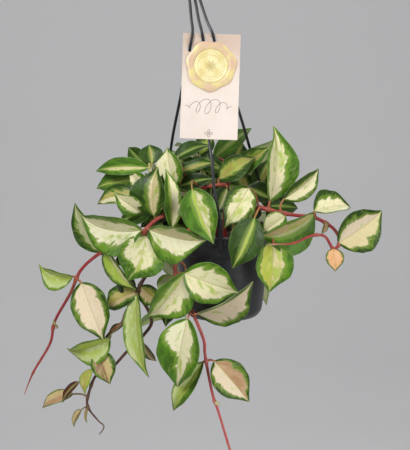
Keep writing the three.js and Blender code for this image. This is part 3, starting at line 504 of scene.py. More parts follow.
def back_stem(angle, nodes, drop, seed):
    """The paths and leaves of a stem behind the pot."""
    draw = seeded_draw(seed)
    turn = math.radians(angle)
    out = Vector((math.cos(turn), math.sin(turn), 0))
    sideways = Vector((-out.y, out.x, 0))
    up = Vector((0, 0, 1))
    foot = on_pot(angle, FOOT_RING, FOOT_SINK - SOIL_DROP)
    points = [
        on_pot(angle, CLIMB_RING, CLIMB_HEIGHT + drop),
        on_pot(angle, RIM_RADIUS + CREST_OUT, CREST_HEIGHT),
    ]
    for node in range(nodes):
        sway = (draw() - 0.5) * HANG_SWAY
        reach = RIM_RADIUS + HANG_OUT + HANG_SPREAD * draw()
        points.append(on_pot(angle + sway, reach, -FIRST_DROP - drop - NODE_SPACING * node))
    leaves = []
    for node, point in enumerate(points):
        for hand in (-1, 1):
            size = BACK_LEAF * (0.75 + 0.35 * draw()) * (1 - 0.05 * node)
            heading = out * (0.5 + 0.3 * draw())
            if node % 2:
                heading = heading * 1.4 + up * (0.7 if hand > 0 else -0.9) + sideways * 0.25 * hand
            else:
                heading = heading + sideways * hand * (0.8 if node else 0.4) + up * (-0.25 if node else 0.9)
            heading.normalize()
            base = point + heading * BACK_STALK
            width = size * (0.46 + 0.1 * draw())
            look = BACK_LOOKS[(seed + 2 * node + (hand > 0)) % len(BACK_LOOKS)]
            number = seed / 9 + node + hand / 3
            leaves.append(
                Leaf(base, base + heading * size, width, out + up * 0.8, look, number, arch=0.08, hook=0.1)
            )
    trunk = even_path(planted_path(foot, points), PATH_STEP)
    return whole_stem([(trunk, STEM_START, STEM_END)], leaves, "olive", [], TIP_SHARE)


# Node trees are written as arithmetic on wires


class Wire:
    """A socket of a node tree. Arithmetic on wires adds the nodes that work it out."""

    def __init__(self, tree, socket):
        self.tree = tree
        self.socket = socket
        self.is_vector = socket.type in {"VECTOR", "RGBA"}

    def __add__(self, other):
        return work("ADD", self, other)

    def __radd__(self, other):
        return work("ADD", other, self)

    def __sub__(self, other):
        return work("SUBTRACT", self, other)

    def __rsub__(self, other):
        return work("SUBTRACT", other, self)

    def __mul__(self, other):
        return work("MULTIPLY", self, other)

    def __rmul__(self, other):
        return work("MULTIPLY", other, self)

    def __truediv__(self, other):
        return work("DIVIDE", self, other)

    def __pow__(self, other):
        return work("POWER", self, other)

    def __abs__(self):
        return work("ABSOLUTE", self)


def join(tree, value, socket):
    """Feeds a wire, a number or a hex colour to a socket."""
    if isinstance(value, Wire):
        tree.links.new(value.socket, socket)
    elif socket.type == "VECTOR" and isinstance(value, (int, float)):
        socket.default_value = (value, value, value)
    elif socket.type == "RGBA":
        socket.default_value = (*linear(value), 1)
    else:
        socket.default_value = value


def add(tree, kind, values=None, **settings):
    """A new node with its settings and its inputs."""
    node = tree.nodes.new(kind)
    for name, value in settings.items():
        setattr(node, name, value)
    for key, value in (values or {}).items():
        join(tree, value, node.inputs[key])
    return node


def out(tree, kind, values=None, output=0, **settings):
    """The output of a new node."""
    return Wire(tree, add(tree, kind, values, **settings).outputs[output])


def work(operation, *values):
    """The result of one arithmetic node on wires and numbers."""
    wires = [value for value in values if isinstance(value, Wire)]
    vector = any(wire.is_vector for wire in wires)
    node = add(wires[0].tree, "ShaderNodeVectorMath" if vector else "ShaderNodeMath", operation=operation)
    for socket, value in zip(node.inputs, values):
        join(wires[0].tree, value, socket)
    return Wire(wires[0].tree, node.outputs[1 if operation in {"DOT_PRODUCT", "LENGTH"} else 0])


def smooth(value, low, high):
    """0 below low, 1 above high, and a smooth step between them."""
    return out(
        value.tree, "ShaderNodeMapRange", {"Value": value, "From Min": low, "From Max": high},
        interpolation_type="SMOOTHSTEP",
    )


def is_number(value):
    return not value.is_vector if isinstance(value, Wire) else isinstance(value, (int, float))


def blend(share, first, second):
    """A share of the way from one number or colour to another."""
    tree = next(v for v in (share, first, second) if isinstance(v, Wire)).tree
    if is_number(first) and is_number(second):
        return out(tree, "ShaderNodeMix", {0: share, 2: first, 3: second}, 0, data_type="FLOAT")
    return out(tree, "ShaderNodeMix", {0: share, 6: first, 7: second}, 2, data_type="RGBA")


def vector(tree, x, y, z):
    return out(tree, "ShaderNodeCombineXYZ", {0: x, 1: y, 2: z})


def parts(value):
    """The three numbers of a vector wire."""
    node = add(value.tree, "ShaderNodeSeparateXYZ", {0: value})
    return [Wire(value.tree, socket) for socket in node.outputs]


def noise(place, scale=1.0, detail=2.0, roughness=0.5):
    return out(
        place.tree, "ShaderNodeTexNoise",
        {"Vector": place, "Scale": scale, "Detail": detail, "Roughness": roughness},
    )


def named(tree, name, kind="FLOAT"):
    """A named attribute, in a geometry tree or in a material."""
    if tree.bl_idname == "GeometryNodeTree":
        return out(tree, "GeometryNodeInputNamedAttribute", {"Name": name}, data_type=kind)
    output = "Fac" if kind == "FLOAT" else "Vector"
    return out(tree, "ShaderNodeAttribute", output=output, attribute_name=name)


def named_vector(tree, name):
    return named(tree, name, "FLOAT_VECTOR")


def stored(geometry, name, value):
    """The geometry with a number kept for each of its points."""
    values = {"Geometry": geometry, "Name": name, "Value": value}
    return out(
        geometry.tree, "GeometryNodeStoreNamedAttribute", values, data_type="FLOAT", domain="POINT"
    )


def flat_grid(tree, rows, columns):
    """A flat grid one unit wide both ways, for a rule to bend into its form."""
    values = {"Size X": 1.0, "Size Y": 1.0, "Vertices X": rows, "Vertices Y": columns}
    return out(tree, "GeometryNodeMeshGrid", values)


def here(tree):
    """Where each point of the geometry lies."""
    return out(tree, "GeometryNodeInputPosition")


def joined(geometries):
    """Several geometry wires as one."""
    node = add(geometries[0].tree, "GeometryNodeJoinGeometry")
    for geometry in reversed(geometries):
        geometry.tree.links.new(geometry.socket, node.inputs[0])
    return Wire(geometries[0].tree, node.outputs[0])


SEAM = 0.000005
DOUBLES = 0.000002
SOCKET_KINDS = {int: "NodeSocketInt", float: "NodeSocketFloat", "material": "NodeSocketMaterial"}


class Recipe:
    """A geometry tree with named inputs, and the plain meshes that it makes."""

    def __init__(self, name, inputs):
        self.tree = bpy.data.node_groups.new(name, "GeometryNodeTree")
        face = self.tree.interface
        face.new_socket(name="Geometry", in_out="INPUT", socket_type="NodeSocketGeometry")
        face.new_socket(name="Geometry", in_out="OUTPUT", socket_type="NodeSocketGeometry")
        self.keys = {}
        for label, kind in inputs.items():
            self.keys[label] = face.new_socket(
                name=label, in_out="INPUT", socket_type=SOCKET_KINDS[kind]
            ).identifier
        self.entry = self.tree.nodes.new("NodeGroupInput")

    def __getitem__(self, label):
        return Wire(self.tree, self.entry.outputs[label])

    def ends_in(self, geometry):
        whole = out(self.tree, "GeometryNodeRealizeInstances", {0: geometry})
        self.tree.links.new(whole.socket, self.tree.nodes.new("NodeGroupOutput").inputs[0])
        return self

    def ends_smooth(self, geometry):
        """Ends in the form with its one finish, shaded smooth."""
        form = out(self.tree, "GeometryNodeSetMaterial", {0: geometry, 2: self["Finish"]})
        return self.ends_in(out(self.tree, "GeometryNodeSetShadeSmooth", {0: form}))

    def make(self, name, mesh, **values):
        """Runs the tree on a mesh and returns a new object whose mesh is the result."""
        source = bpy.data.objects.new(name + "_source", mesh)
        bpy.context.collection.objects.link(source)
        modifier = source.modifiers.new("recipe", "NODES")
        modifier.node_group = self.tree
        for label, value in values.items():
            modifier[self.keys[label.replace("_", " ").capitalize()]] = value
        graph = bpy.context.evaluated_depsgraph_get()
        made = bpy.data.meshes.new_from_object(source.evaluated_get(graph), depsgraph=graph)
        made.name = name
        bpy.data.objects.remove(source)
        bpy.data.meshes.remove(mesh)
        return linked(name, made)


def linked(name, mesh):
    piece = bpy.data.objects.new(name, mesh)
    bpy.context.collection.objects.link(piece)
    return piece


def mounted(piece, slot, *nodes):
    """The piece rides on the plant, and the given CAD nodes are hidden. slot is not used."""
    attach(piece, "root")
    if nodes:
        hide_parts(*nodes)
    return piece


# Finishes


def finish(name, **values):
    """A new material's tree and its surface node, with the numbers that are the same all over."""
    material = bpy.data.materials.new(name)
    material.use_nodes = True
    tree = material.node_tree
    surface = tree.nodes["Principled BSDF"]
    for label, value in values.items():
        surface.inputs[label.replace("_", " ")].default_value = value
    return material, tree, surface


def dress(tree, surface, colour, roughness=None):
    """Feeds the surface its colour and, where it varies, its roughness."""
    join(tree, colour, surface.inputs["Base Color"])
    if roughness is not None:
        join(tree, roughness, surface.inputs["Roughness"])


def bump(tree, surface, height, distance, strength=0.6):
    relief = out(tree, "ShaderNodeBump", {"Height": height, "Distance": distance, "Strength": strength})
    join(tree, relief, surface.inputs["Normal"])


def object_place(tree):
    return out(tree, "ShaderNodeTexCoord", output="Object")


def waxy_leaf():
    """Three-coloured leaf: a pale field with ragged edges that run along the side veins, grey-green
    and light green steps, a dark margin, lime streaks by the midrib, and a paler underside."""
    material, tree, surface = finish(
        "waxy_leaf", Specular_IOR_Level=0.22, Coat_Weight=0.06, Coat_Roughness=0.2, Subsurface_Weight=0.08,
        Subsurface_Scale=0.002,
    )
    surface.inputs["Subsurface Radius"].default_value = (0.7, 1.0, 0.35)
    across = named(tree, "across")
    along = named(tree, "along")
    off = abs(across)
    half = smooth(across, -0.03, 0.03)
    left, right, flecks = parts(named_vector(tree, "reaches"))
    lime, seed, ragged = parts(named_vector(tree, "streaks"))
    reach = blend(half, left, right)
    pale = blend(half, named_vector(tree, "pale_left"), named_vector(tree, "pale_right"))
    margin = named_vector(tree, "margin")
    vein = along - off * VEIN_SLOPE
    lane = off + half * 5

    def streaks(run, spread, shift, detail=2.0):
        return noise(vector(tree, vein * run, lane * spread, seed * 3.1 + shift), 1.0, detail, 0.6)

    left_end, right_end, _ = parts(named_vector(tree, "ends"))
    end = blend(half, left_end, right_end)
    close = 0.7 + smooth(1 - end, 0.0, 0.1) * 0.3
    envelope = smooth(along, -0.04, 0.14) * (1 - smooth(along, end - 0.3, end) * close)
    stir = smooth(reach, 0.0, 0.35) * ragged
    fray = (streaks(7, 1.7, 0) - 0.5) * 1.3 + (streaks(26, 5, 3) - 0.5) * 0.4
    field = reach * envelope + fray * stir - off
    inside = smooth(field, -0.025, 0.035)
    step = smooth(field + 0.07 + (streaks(15, 3, 6) - 0.5) * 0.3 * stir, -0.02, 0.04)
    outer = smooth(field + 0.24 + (streaks(11, 2.6, 27) - 0.5) * 0.5 * stir, -0.04, 0.08)
    patch = smooth(streaks(6, 2.4, 9), 0.38, 0.66)
    islands = smooth(streaks(22, 5, 12), 0.6, 0.68) * smooth(reach, 0.0, 0.3)
    green = blend(patch, margin * 0.7, margin * 1.2)
    grey_green = blend(0.55, margin, "#b2b878")
    green = blend(islands * 0.5, green, grey_green)
    green = blend(outer * 0.75, green, blend(0.45, margin, "#8fb03a"))
    fleck = smooth(streaks(44, 13, 15), 0.7 - flecks * 0.22, 0.76 - flecks * 0.22)
    warmth = smooth(streaks(4, 1.5, 18), 0.4, 0.7)
    body = blend(warmth * 0.25, pale, "#e6cfae")
    body = blend(fleck * smooth(flecks, 0.0, 0.1) * 0.75, body, grey_green)
    splash = smooth(streaks(5, 2.6, 21) + lime * 0.34, 0.62, 0.8) * (1 - smooth(off, 0.25, 0.8))
    body = blend(splash * smooth(lime, 0.0, 0.1) * 0.9, body, "#a3b64c")
    colour = blend(inside, blend(step, green, grey_green), body)
    rib = 1 - smooth(named(tree, "rib_gap"), 0.0002, 0.0009)
    # A pale line round every edge: a painted highlight where the leaf's thick edge catches the light
    rim = 1 - smooth(named(tree, "edge_gap"), 0.0002, 0.0008)
    colour = blend(rib * 0.4, colour, blend(inside, "#8fae5a", "#a99b60"))
    colour = blend(rim * 0.25, colour, "#a3bd74")
    lines = out(tree, "ShaderNodeMath", {0: vein * 8.5 + streaks(3, 1, 24) * 0.5}, operation="FRACT")
    thread = 1 - smooth(abs(lines - 0.5), 0.0, 0.09)
    colour = blend(thread * 0.1, colour, "#7f9a52")
    under = 1 - smooth(named(tree, "face"), -0.4, 0.4)
    colour = blend(under * 0.6, colour, "#97ab74")
    grain = noise(object_place(tree), 700.0, 3.0)
    dress(tree, surface, colour, 0.32 + grain * 0.2)
    bump(tree, surface, grain * 0.35 + thread * 0.25 - rib * 0.5 + streaks(9, 1.5, 0) * 0.6, 0.0004, 0.5)
    return material


def stem_skin():
    """Fleshy stem: its own colour with green and dark streaks and paler dots."""
    material, tree, surface = finish(
        "stem_skin", Coat_Weight=0.1, Coat_Roughness=0.35, Subsurface_Weight=0.08, Subsurface_Scale=0.0015
    )
    bark = named_vector(tree, "bark")
    place = object_place(tree)
    blotch = noise(place, 90.0, 3.0)
    grain = noise(place, 800.0, 3.0)
    dots = smooth(noise(place, 1500.0, 1.0), 0.62, 0.7)
    colour = blend(smooth(blotch, 0.45, 0.7) * 0.2, bark, "#7d8f4c")
    colour = blend(smooth(noise(place, 55.0, 2.0), 0.5, 0.75) * 0.4, colour, bark * 0.45)
    colour = blend(dots * 0.25, colour, "#d9b59a")
    dress(tree, surface, colour, 0.38 + grain * 0.25)
    bump(tree, surface, grain + dots * 0.4, 0.0003)
    return material


# Leafy stems


def blade_sheet(recipe, rows, columns, face):
    """One face of a blade as a flat grid that knows where each point lies on the leaf."""
    tree = recipe.tree
    grid = flat_grid(tree, rows, columns)
    x, y, _ = parts(here(tree))
    even = y * 2
    grid = stored(grid, "along", 0.5 - work("COSINE", (x + 0.5) * math.pi) * 0.5)
    grid = stored(grid, "across", even - work("SINE", even * (2 * math.pi)) * 0.1)
    grid = stored(grid, "face", float(face))
    if face > 0:
        grid = out(tree, "GeometryNodeFlipFaces", {0: grid})
    return grid


def flat_blades(recipe, leaves, width):
    """Both faces of every blade, flat, on the leaves' points: small leaves take a coarser grid."""
    small = work("LESS_THAN", width, recipe["Small width"])
    blades = []
    for rows, columns, chosen in (("Rows", "Columns", 1 - small), ("Small rows", "Small columns", small)):
        sheets = joined([blade_sheet(recipe, recipe[rows], recipe[columns], face) for face in (1, -1)])
        blades.append(out(recipe.tree, "GeometryNodeInstanceOnPoints", {0: leaves, 1: chosen, 2: sheets}))
    return out(recipe.tree, "GeometryNodeRealizeInstances", {0: joined(blades)})


def full_within(place, power):
    """Near 1 over most of the way from -1 to 1, and 0 at both ends."""
    return work("MAXIMUM", 1 - place ** power, 0.0) ** 0.5


def bent_blades(recipe, blade, length, width):
    """The flat blades in their leaves' form: outline, arch, fold, hook, waves, groove and veins."""
    tree = recipe.tree
    along = named(tree, "along")
    across = named(tree, "across")
    face = named(tree, "face")
    arch, fold, hook = parts(named_vector(tree, "form"))
    bend, wave, seed = parts(named_vector(tree, "sway"))
    off = abs(across)
    body = work("MAXIMUM", work("SINE", (along ** 0.82) * math.pi), 0.0) ** 0.75
    outline = body * (1 - smooth(along, 0.66, 1.0) * 0.42)
    rise = along * (1 - along) * 4
    drop = work("MAXIMUM", (along - HOOK_START) / (1 - HOOK_START), 0.0) ** 2
    wobble = noise(vector(tree, along * 2.2, across * 1.3, seed * 5), 1.0, 1.0) - 0.5
    flutter = noise(vector(tree, along * 7, across * 1.5, seed * 3), 1.0, 1.0) - 0.5
    calm = work("MINIMUM", rise * 1.5, 1.0)
    reach = width * 0.5 * outline * (1 + flutter * 0.12 * off) + recipe["Blade end"] * (1 - along)
    ripple = wave * width * (off ** 2) * work("SINE", along * 9 + across * 2 + width * 1000)
    groove = work("EXPONENT", ((reach * across / GROOVE_WIDTH) ** 2) * -1.0) * GROOVE_DEPTH
    quilt = work("SINE", (along - off * VEIN_SLOPE) * 52) * off * (1 - off) * QUILT_DEPTH
    lift = (
        length * (arch * rise - hook * drop)
        + reach * (off ** 1.3) * work("SINE", fold)
        + ripple * work("MINIMUM", rise, 1.0)
        + (wobble * 0.03 + flutter * off * 0.03) * width * calm
        - (groove - quilt) * calm
    )
    plump = full_within(across, 6) * full_within(along * 2 - 1, 10)
    sideways = reach * across * work("COSINE", fold) + length * bend * rise
    half = recipe["Thickness"] * 0.5 * plump / work("COSINE", fold)
    blade = stored(blade, "edge_gap", reach * (1 - off))
    blade = stored(blade, "rib_gap", reach * off)
    place = (
        named_vector(tree, "base")
        + named_vector(tree, "axis") * (length * along)
        + named_vector(tree, "side") * sideways
        + named_vector(tree, "normal") * (lift + face * half)
    )
    blade = out(tree, "GeometryNodeSetPosition", {0: blade, 2: place})
    blade = out(tree, "GeometryNodeMergeByDistance", {0: blade, 2: DOUBLES})
    return out(tree, "GeometryNodeSetMaterial", {0: blade, 2: recipe["Leaf"]})


def leafy_stem():
    """Blades on points and tubes on paths, each a closed form: a stem with its leaves in one mesh."""
    recipe = Recipe("leafy_stem", {
        "Rows": int, "Columns": int, "Small rows": int, "Small columns": int, "Small width": float,
        "Thickness": float, "Blade end": float, "Stem sides": int, "Leaf": "material", "Stem": "material",
    })
    tree = recipe.tree
    values = {0: recipe["Geometry"], 1: named(tree, "is_leaf")}
    split = add(tree, "GeometryNodeSeparateGeometry", values, domain="POINT")
    leaves, paths = (Wire(tree, split.outputs[number]) for number in (0, 1))
    length, width, _ = parts(named_vector(tree, "size"))
    blade = bent_blades(recipe, flat_blades(recipe, leaves, width), length, width)
    ring = out(tree, "GeometryNodeCurvePrimitiveCircle", {"Resolution": recipe["Stem sides"], "Radius": 1.0})
    line = out(tree, "GeometryNodeMeshToCurve", {0: paths})
    thick = named(tree, "thick")
    tube = out(tree, "GeometryNodeCurveToMesh", {0: line, 1: ring, "Scale": thick, "Fill Caps": True})
    tube = out(tree, "GeometryNodeSetMaterial", {0: tube, 2: recipe["Stem"]})
    return recipe.ends_in(out(tree, "GeometryNodeSetShadeSmooth", {0: joined([blade, tube])}))


NODE_SWELL = 0.45
NODE_SPAN = 0.0028
TIP_SHARE = 0.45
TIP_SPAN = 0.045
BLUNT_SPAN = 0.003
YOUNG_SPAN = 0.035
STALK_STEP = 0.0025
STALK_UNDER = 0.0008
STALK_REACH = (0.03, 0.12, 0.25, 0.4, 0.55)
GRIDS = {"rows": 72, "columns": 29, "small_rows": 36, "small_columns": 17, "small_width": 0.022}
LOOK_FLOATS = ("is_leaf", "thick")
LOOK_VECTORS = (
    "base", "axis", "side", "normal", "size", "form", "sway", "pale_left", "pale_right", "margin", "reaches",
    "streaks", "ends", "bark",
)


class StemSource:
    """What a leafy stem grows from: a lone point for each leaf, and lines for the stems and stalks."""

    def __init__(self, stem):
        self.places = []
        self.edges = []
        self.rows = []
        self.paths = stem["paths"]
        self.tip = stem["tip"]
        self.bark = Vector(paint(stem["bark"]))
        self.stalk = self.bark.lerp(Vector(paint("olive")), 0.5)
        self.young = self.bark.lerp(Vector(paint("rose")), 0.1 if stem["bark"] == "wine" else 0.55)
        roots = [leaf.root([path for path, _, _ in self.paths]) for leaf in stem["leaves"]]
        self.knots = roots + stem["knots"]
        for number, (path, start, end) in enumerate(self.paths):
            rings = [self.stem_ring(path, step, start, end, number) for step in range(len(path))]
            self.add_line(path, rings)
        for leaf, root in zip(stem["leaves"], roots):
            self.add_leaf(leaf)
            self.add_stalk(leaf, root)

    def add_point(self, place, **values):
        self.places.append(place)
        self.rows.append(values)

    def add_line(self, points, rings):
        """Adds a line with a radius and a colour at each of its points."""
        start = len(self.places)
        for place, (radius, bark) in zip(points, rings):
            self.add_point(place, thick=radius, bark=bark)
        self.edges.extend((start + step, start + step + 1) for step in range(len(points) - 1))

    def stem_ring(self, path, step, start, end, number):
        """The radius and the colour at one point of a stem, thicker at its nodes. The first path is the
        trunk, whose end has its own thickness and a paler colour."""
        share = step / (len(path) - 1)
        left = (len(path) - 1 - step) * PATH_STEP
        near = min((path[step] - knot).length for knot in self.knots)
        node = math.exp(-((near / NODE_SPAN) ** 2))
        blunt = math.sqrt(max(0.02, 1 - max(0, 1 - left / BLUNT_SPAN) ** 2))
        slim = 1 if number else self.tip + (1 - self.tip) * min(1, left / TIP_SPAN)
        radius = (start + (end - start) * share) * (1 + NODE_SWELL * node) * blunt * slim
        tint = self.bark.lerp(self.stalk, 0.25 * node)
        return radius, tint if number else tint.lerp(self.young, max(0, 1 - left / YOUNG_SPAN) ** 2)

    def add_leaf(self, leaf):
        """Adds a leaf's point, which carries its place, its form and its look."""
        left, right, first, second, margin, lime, flecks, *ends = leaf.look
        self.add_point(
            leaf.base, is_leaf=1.0, base=leaf.base, axis=leaf.axis, side=leaf.side, normal=leaf.normal,
            size=(leaf.length, leaf.width, 0), form=(leaf.arch, leaf.fold, leaf.hook),
            sway=(leaf.bend, leaf.wave, leaf.seed), pale_left=paint(first), pale_right=paint(second),
            margin=paint(margin), reaches=(left, right, flecks), streaks=(lime, leaf.seed, 0.5),
            ends=(*(ends or (1, 1)), 0),
        )

    def add_stalk(self, leaf, root):
        """Adds a leaf's stalk, from the stem to under the blade, where it runs on as the midrib."""
        slender = min(1, leaf.width / STOUT_LEAF + 0.35)
        run = (leaf.base - root).length
        lead = leaf.base - leaf.axis * run * 0.35 - leaf.normal * run * 0.12
        under = [leaf.spine(along) - leaf.normal * STALK_UNDER for along in STALK_REACH]
        course = [root, root.lerp(lead, 0.6), leaf.base - leaf.normal * 0.0002, *under]
        points = even_path(smooth_path(course, 8), STALK_STEP)
        rings = []
        for step in range(len(points)):
            share = step / (len(points) - 1)
            taper = 1.35 - 0.35 * min(1, share * 4) - 0.75 * max(0, share - 0.35) / 0.65
            tint = self.bark.lerp(self.stalk, min(1, 0.35 + 1.2 * share))
            rings.append((slender * STALK_RADIUS * taper, tint))
        self.add_line(points, rings)

    def mesh(self, name):
        mesh = bpy.data.meshes.new(name)
        mesh.from_pydata(self.places, self.edges, [])
        for label in LOOK_FLOATS:
            data = mesh.attributes.new(label, "FLOAT", "POINT").data
            data.foreach_set("value", [row.get(label, 0.0) for row in self.rows])
        for label in LOOK_VECTORS:
            data = mesh.attributes.new(label, "FLOAT_VECTOR", "POINT").data
            data.foreach_set("vector", [number for row in self.rows for number in row.get(label, (0, 0, 0))])
        return mesh


def plant_stems():
    """Makes every leafy stem, drawn or following the rule, in the place of its CAD node."""
    recipe = leafy_stem()
    leaf = waxy_leaf()
    skin = stem_skin()
    drawn = {
        "stem_upper_left": UPPER_LEFT,
        "stem_left_trail": LEFT_TRAIL,
        "stem_low_left": LOW_LEFT,
        "stem_low_front": LOW_FRONT,
        "stem_centre_top": CENTRE_TOP,
        "stem_right_trail": RIGHT_TRAIL,
        "stem_centre_back": CENTRE_BACK,
        "stem_right_top": RIGHT_TOP,
    }
    stems = {node: drawn_stem(row, number + 1) for number, (node, row) in enumerate(drawn.items())}
    stems.update({node: back_stem(**row) for node, row in BACK_STEMS.items()})
    for node, stem in stems.items():
        piece = recipe.make(
            node.replace("stem", "vine"), StemSource(stem).mesh(node), **GRIDS, thickness=BLADE_THICKNESS,
            blade_end=BLADE_END, stem_sides=10, leaf=leaf, stem=skin,
        )
        mounted(piece, "foliage", node)


plant_stems()


# Pot and soil

POT_HEIGHT = 0.101
BASE_RADIUS = 0.045
POT_WALL = 0.0016
LIP_HEIGHT = 0.009
LIP_OVERHANG = 0.0024
FOOT_HEIGHT = 0.002
FOOT_INSET = 0.007
FOOT_CHAMFER = 0.004
FOOT_SIDE = 0.006
LEDGE_BELOW_LIP = 0.016
LEDGE_HEIGHT = 0.0012
LIP_UNDERCUT = 0.001
POT_ROUNDING = 0.0022
DRAIN_RADIUS = 0.004
DRAIN_CIRCLE = 0.024
CLEARANCE = 0.0003
DRAIN_HOLES = 5
DRILL_LENGTH = 0.012
HEAP_EDGE_DROP = 0.002
HEAP_RINGS = [(0.046, -0.0008), (0.034, 0.0002), (0.018, 0.0009), (0, 0.0012)]
HEAP_STEP = 0.0012
UNEVEN_REACH = 0.052
UNEVEN_HEIGHT = 0.0012
WALL_TOP_RADIUS = RIM_RADIUS - LIP_OVERHANG
POT_FLOOR = FOOT_HEIGHT - POT_HEIGHT
POT_CENTRE = Vector((HANG_OFFSET, 0, -HANG_HEIGHT))


def wall_radius(height):
    """The pot wall's outer radius at a height above the rim, which is negative below it."""
    return WALL_TOP_RADIUS + (BASE_RADIUS - WALL_TOP_RADIUS) * -height / POT_HEIGHT


def rounded(corners, radius, closed=False, steps=4):
    """A polyline with its corners rounded to at most the given radius."""
    points = [Vector(corner) for corner in corners]
    out_line = []
    count = len(points)
    for index, corner in enumerate(points):
        if not closed and index in (0, count - 1):
            out_line.append(corner)
            continue
        before = points[index - 1] - corner
        after = points[(index + 1) % count] - corner
        cut = min(radius, before.length * 0.45, after.length * 0.45)
        start = corner + before.normalized() * cut
        end = corner + after.normalized() * cut
        for step in range(steps + 1):
            t = step / steps
            out_line.append(start * (1 - t) ** 2 + corner * 2 * t * (1 - t) + end * t**2)
    return out_line


def line_mesh(name, points):
    """A mesh of one line through points of two or three numbers each."""
    mesh = bpy.data.meshes.new(name)
    edges = [(start, start + 1) for start in range(len(points) - 1)]
    mesh.from_pydata([(*point, 0)[:3] for point in points], edges, [])
    return mesh


def turning():
    """Turns a line of radius and height into a closed round form."""
    recipe = Recipe("turning", {"Sides": int, "Finish": "material"})
    tree = recipe.tree
    profile = recipe["Geometry"]
    count = out(tree, "GeometryNodeAttributeDomainSize", {0: profile}, component="MESH")
    around = recipe["Sides"] + 1
    grid = flat_grid(tree, count, around)
    index = out(tree, "GeometryNodeInputIndex")
    row = work("FLOOR", (index + 0.5) / around)
    turn = (index - row * around) / recipe["Sides"] * (2 * math.pi)
    point = out(
        tree, "GeometryNodeSampleIndex", {0: profile, 1: here(tree), 2: row},
        data_type="FLOAT_VECTOR", domain="POINT",
    )
    radius, height, _ = parts(point)
    place = vector(tree, radius * work("COSINE", turn), radius * work("SINE", turn), height)
    form = out(tree, "GeometryNodeSetPosition", {0: grid, 2: place})
    return recipe.ends_smooth(out(tree, "GeometryNodeMergeByDistance", {0: form, 2: SEAM}))


def placed(piece, place):
    """Moves the mesh itself, so that the object stays at the origin."""
    for vertex in piece.data.vertices:
        vertex.co += Vector(place)
    return piece


def mesh_of(shape, name):
    """Turns a bmesh into a mesh and frees it."""
    mesh = bpy.data.meshes.new(name)
    shape.to_mesh(mesh)
    shape.free()
    return mesh


def extruded(corners, along):
    """A closed solid, as a bmesh: a flat outline pushed along a vector."""
    shape = bmesh.new()
    face = shape.faces.new([shape.verts.new(corner) for corner in corners])
    made = bmesh.ops.extrude_face_region(shape, geom=[face])
    moved = [part for part in made["geom"] if isinstance(part, bmesh.types.BMVert)]
    bmesh.ops.translate(shape, verts=moved, vec=along)
    bmesh.ops.recalc_face_normals(shape, faces=shape.faces)
    return shape


def faces_out(piece):
    """Merges loose doubles and turns every face outwards."""
    mesh = bmesh.new()
    mesh.from_mesh(piece.data)
    bmesh.ops.remove_doubles(mesh, verts=mesh.verts, dist=DOUBLES)
    bmesh.ops.recalc_face_normals(mesh, faces=mesh.faces)
    mesh.to_mesh(piece.data)
    mesh.free()
    return piece


def apply_modifiers(piece):
    """Keeps what the modifiers make as a plain mesh."""
    graph = bpy.context.evaluated_depsgraph_get()
    made = bpy.data.meshes.new_from_object(piece.evaluated_get(graph), depsgraph=graph)
    piece.modifiers.clear()
    piece.data = made
    return piece


def bevelled(piece, width, segments):
    """The piece with its edges rounded a little."""
    bevel = piece.modifiers.new("bevel", "BEVEL")
    bevel.width = width
    bevel.segments = segments
    return apply_modifiers(piece)


def cut_from(piece, tools):
    """Cuts tool objects out of a piece and removes the tools."""
    for tool in tools:
        cut = piece.modifiers.new("cut", "BOOLEAN")
        cut.operation = "DIFFERENCE"
        cut.solver = "EXACT"
        cut.object = tool
    apply_modifiers(piece)
    for tool in tools:
        bpy.data.objects.remove(tool)
    return piece


def crease(piece, degrees=40):
    """Smooth shading that keeps sharp edges sharp."""
    piece.data.shade_smooth()
    piece.data.set_sharp_from_angle(angle=math.radians(degrees))
    return piece


def pot_plastic():
    """Thin black nursery plastic: satin with faint flow marks, dust towards the foot, pale rubbed edges."""
    material, tree, surface = finish("pot_plastic", Coat_Weight=0.05, Coat_Roughness=0.4)
    place = object_place(tree)
    height = parts(place)[2] + HANG_HEIGHT
    dust = smooth(noise(place, 38.0, 5.0, 0.65), 0.5, 0.8)
    streak = noise(place * vector(tree, 260, 260, 9), 1.0, 2.0)
    rubbed = smooth(height, -0.0022, -0.0006) * noise(place, 300.0, 3.0)
    scuff = smooth(noise(place * vector(tree, 60, 60, 420), 1.0, 3.0), 0.66, 0.72)
    colour = blend(streak, "#191a1d", "#26272b")
    colour = blend(dust * (0.12 + 0.25 * smooth(height, -0.05, -0.1)), colour, "#6f675c")
    colour = blend(rubbed * 0.3, colour, "#5a5b60")
    colour = blend(scuff * 0.12, colour, "#7b7c80")
    dress(tree, surface, colour, 0.36 + dust * 0.3 + scuff * 0.15 + streak * 0.08)
    bump(tree, surface, noise(place, 900.0, 2.0) + streak * 0.6, 0.0002, 0.35)
    return material


def potting_mix():
    """Damp coir and peat: dark fibres with paler threads."""
    material, tree, surface = finish("potting_mix", Roughness=0.95)
    place = object_place(tree)
    clump = noise(place, 120.0, 5.0, 0.7)
    fibre = noise(place * vector(tree, 900, 160, 400), 1.0, 3.0)
    colour = blend(clump, "#1d140e", "#4e3a2b")
    colour = blend(smooth(fibre, 0.6, 0.7) * 0.5, colour, "#8a6d4e")
    dress(tree, surface, colour)
    bump(tree, surface, clump + fibre * 0.4, 0.0015, 0.9)
    return material


def crumb():
    """Bark, coir and pumice crumbs: each takes one colour from its own number."""
    material, tree, surface = finish("crumb", Roughness=0.9)
    kind = named(tree, "kind")
    place = object_place(tree)
    grain = noise(place, 900.0, 4.0, 0.7)
    colour = blend(smooth(kind, 0.2, 0.5), "#2b1c12", "#5d412b")
    colour = blend(smooth(kind, 0.55, 0.62), colour, "#86684a")
    colour = blend(smooth(kind, 0.86, 0.87), colour, "#cfcabd")
    dress(tree, surface, blend(grain * 0.5, colour, colour * 0.5))
    bump(tree, surface, grain, 0.0006, 0.8)
    return material


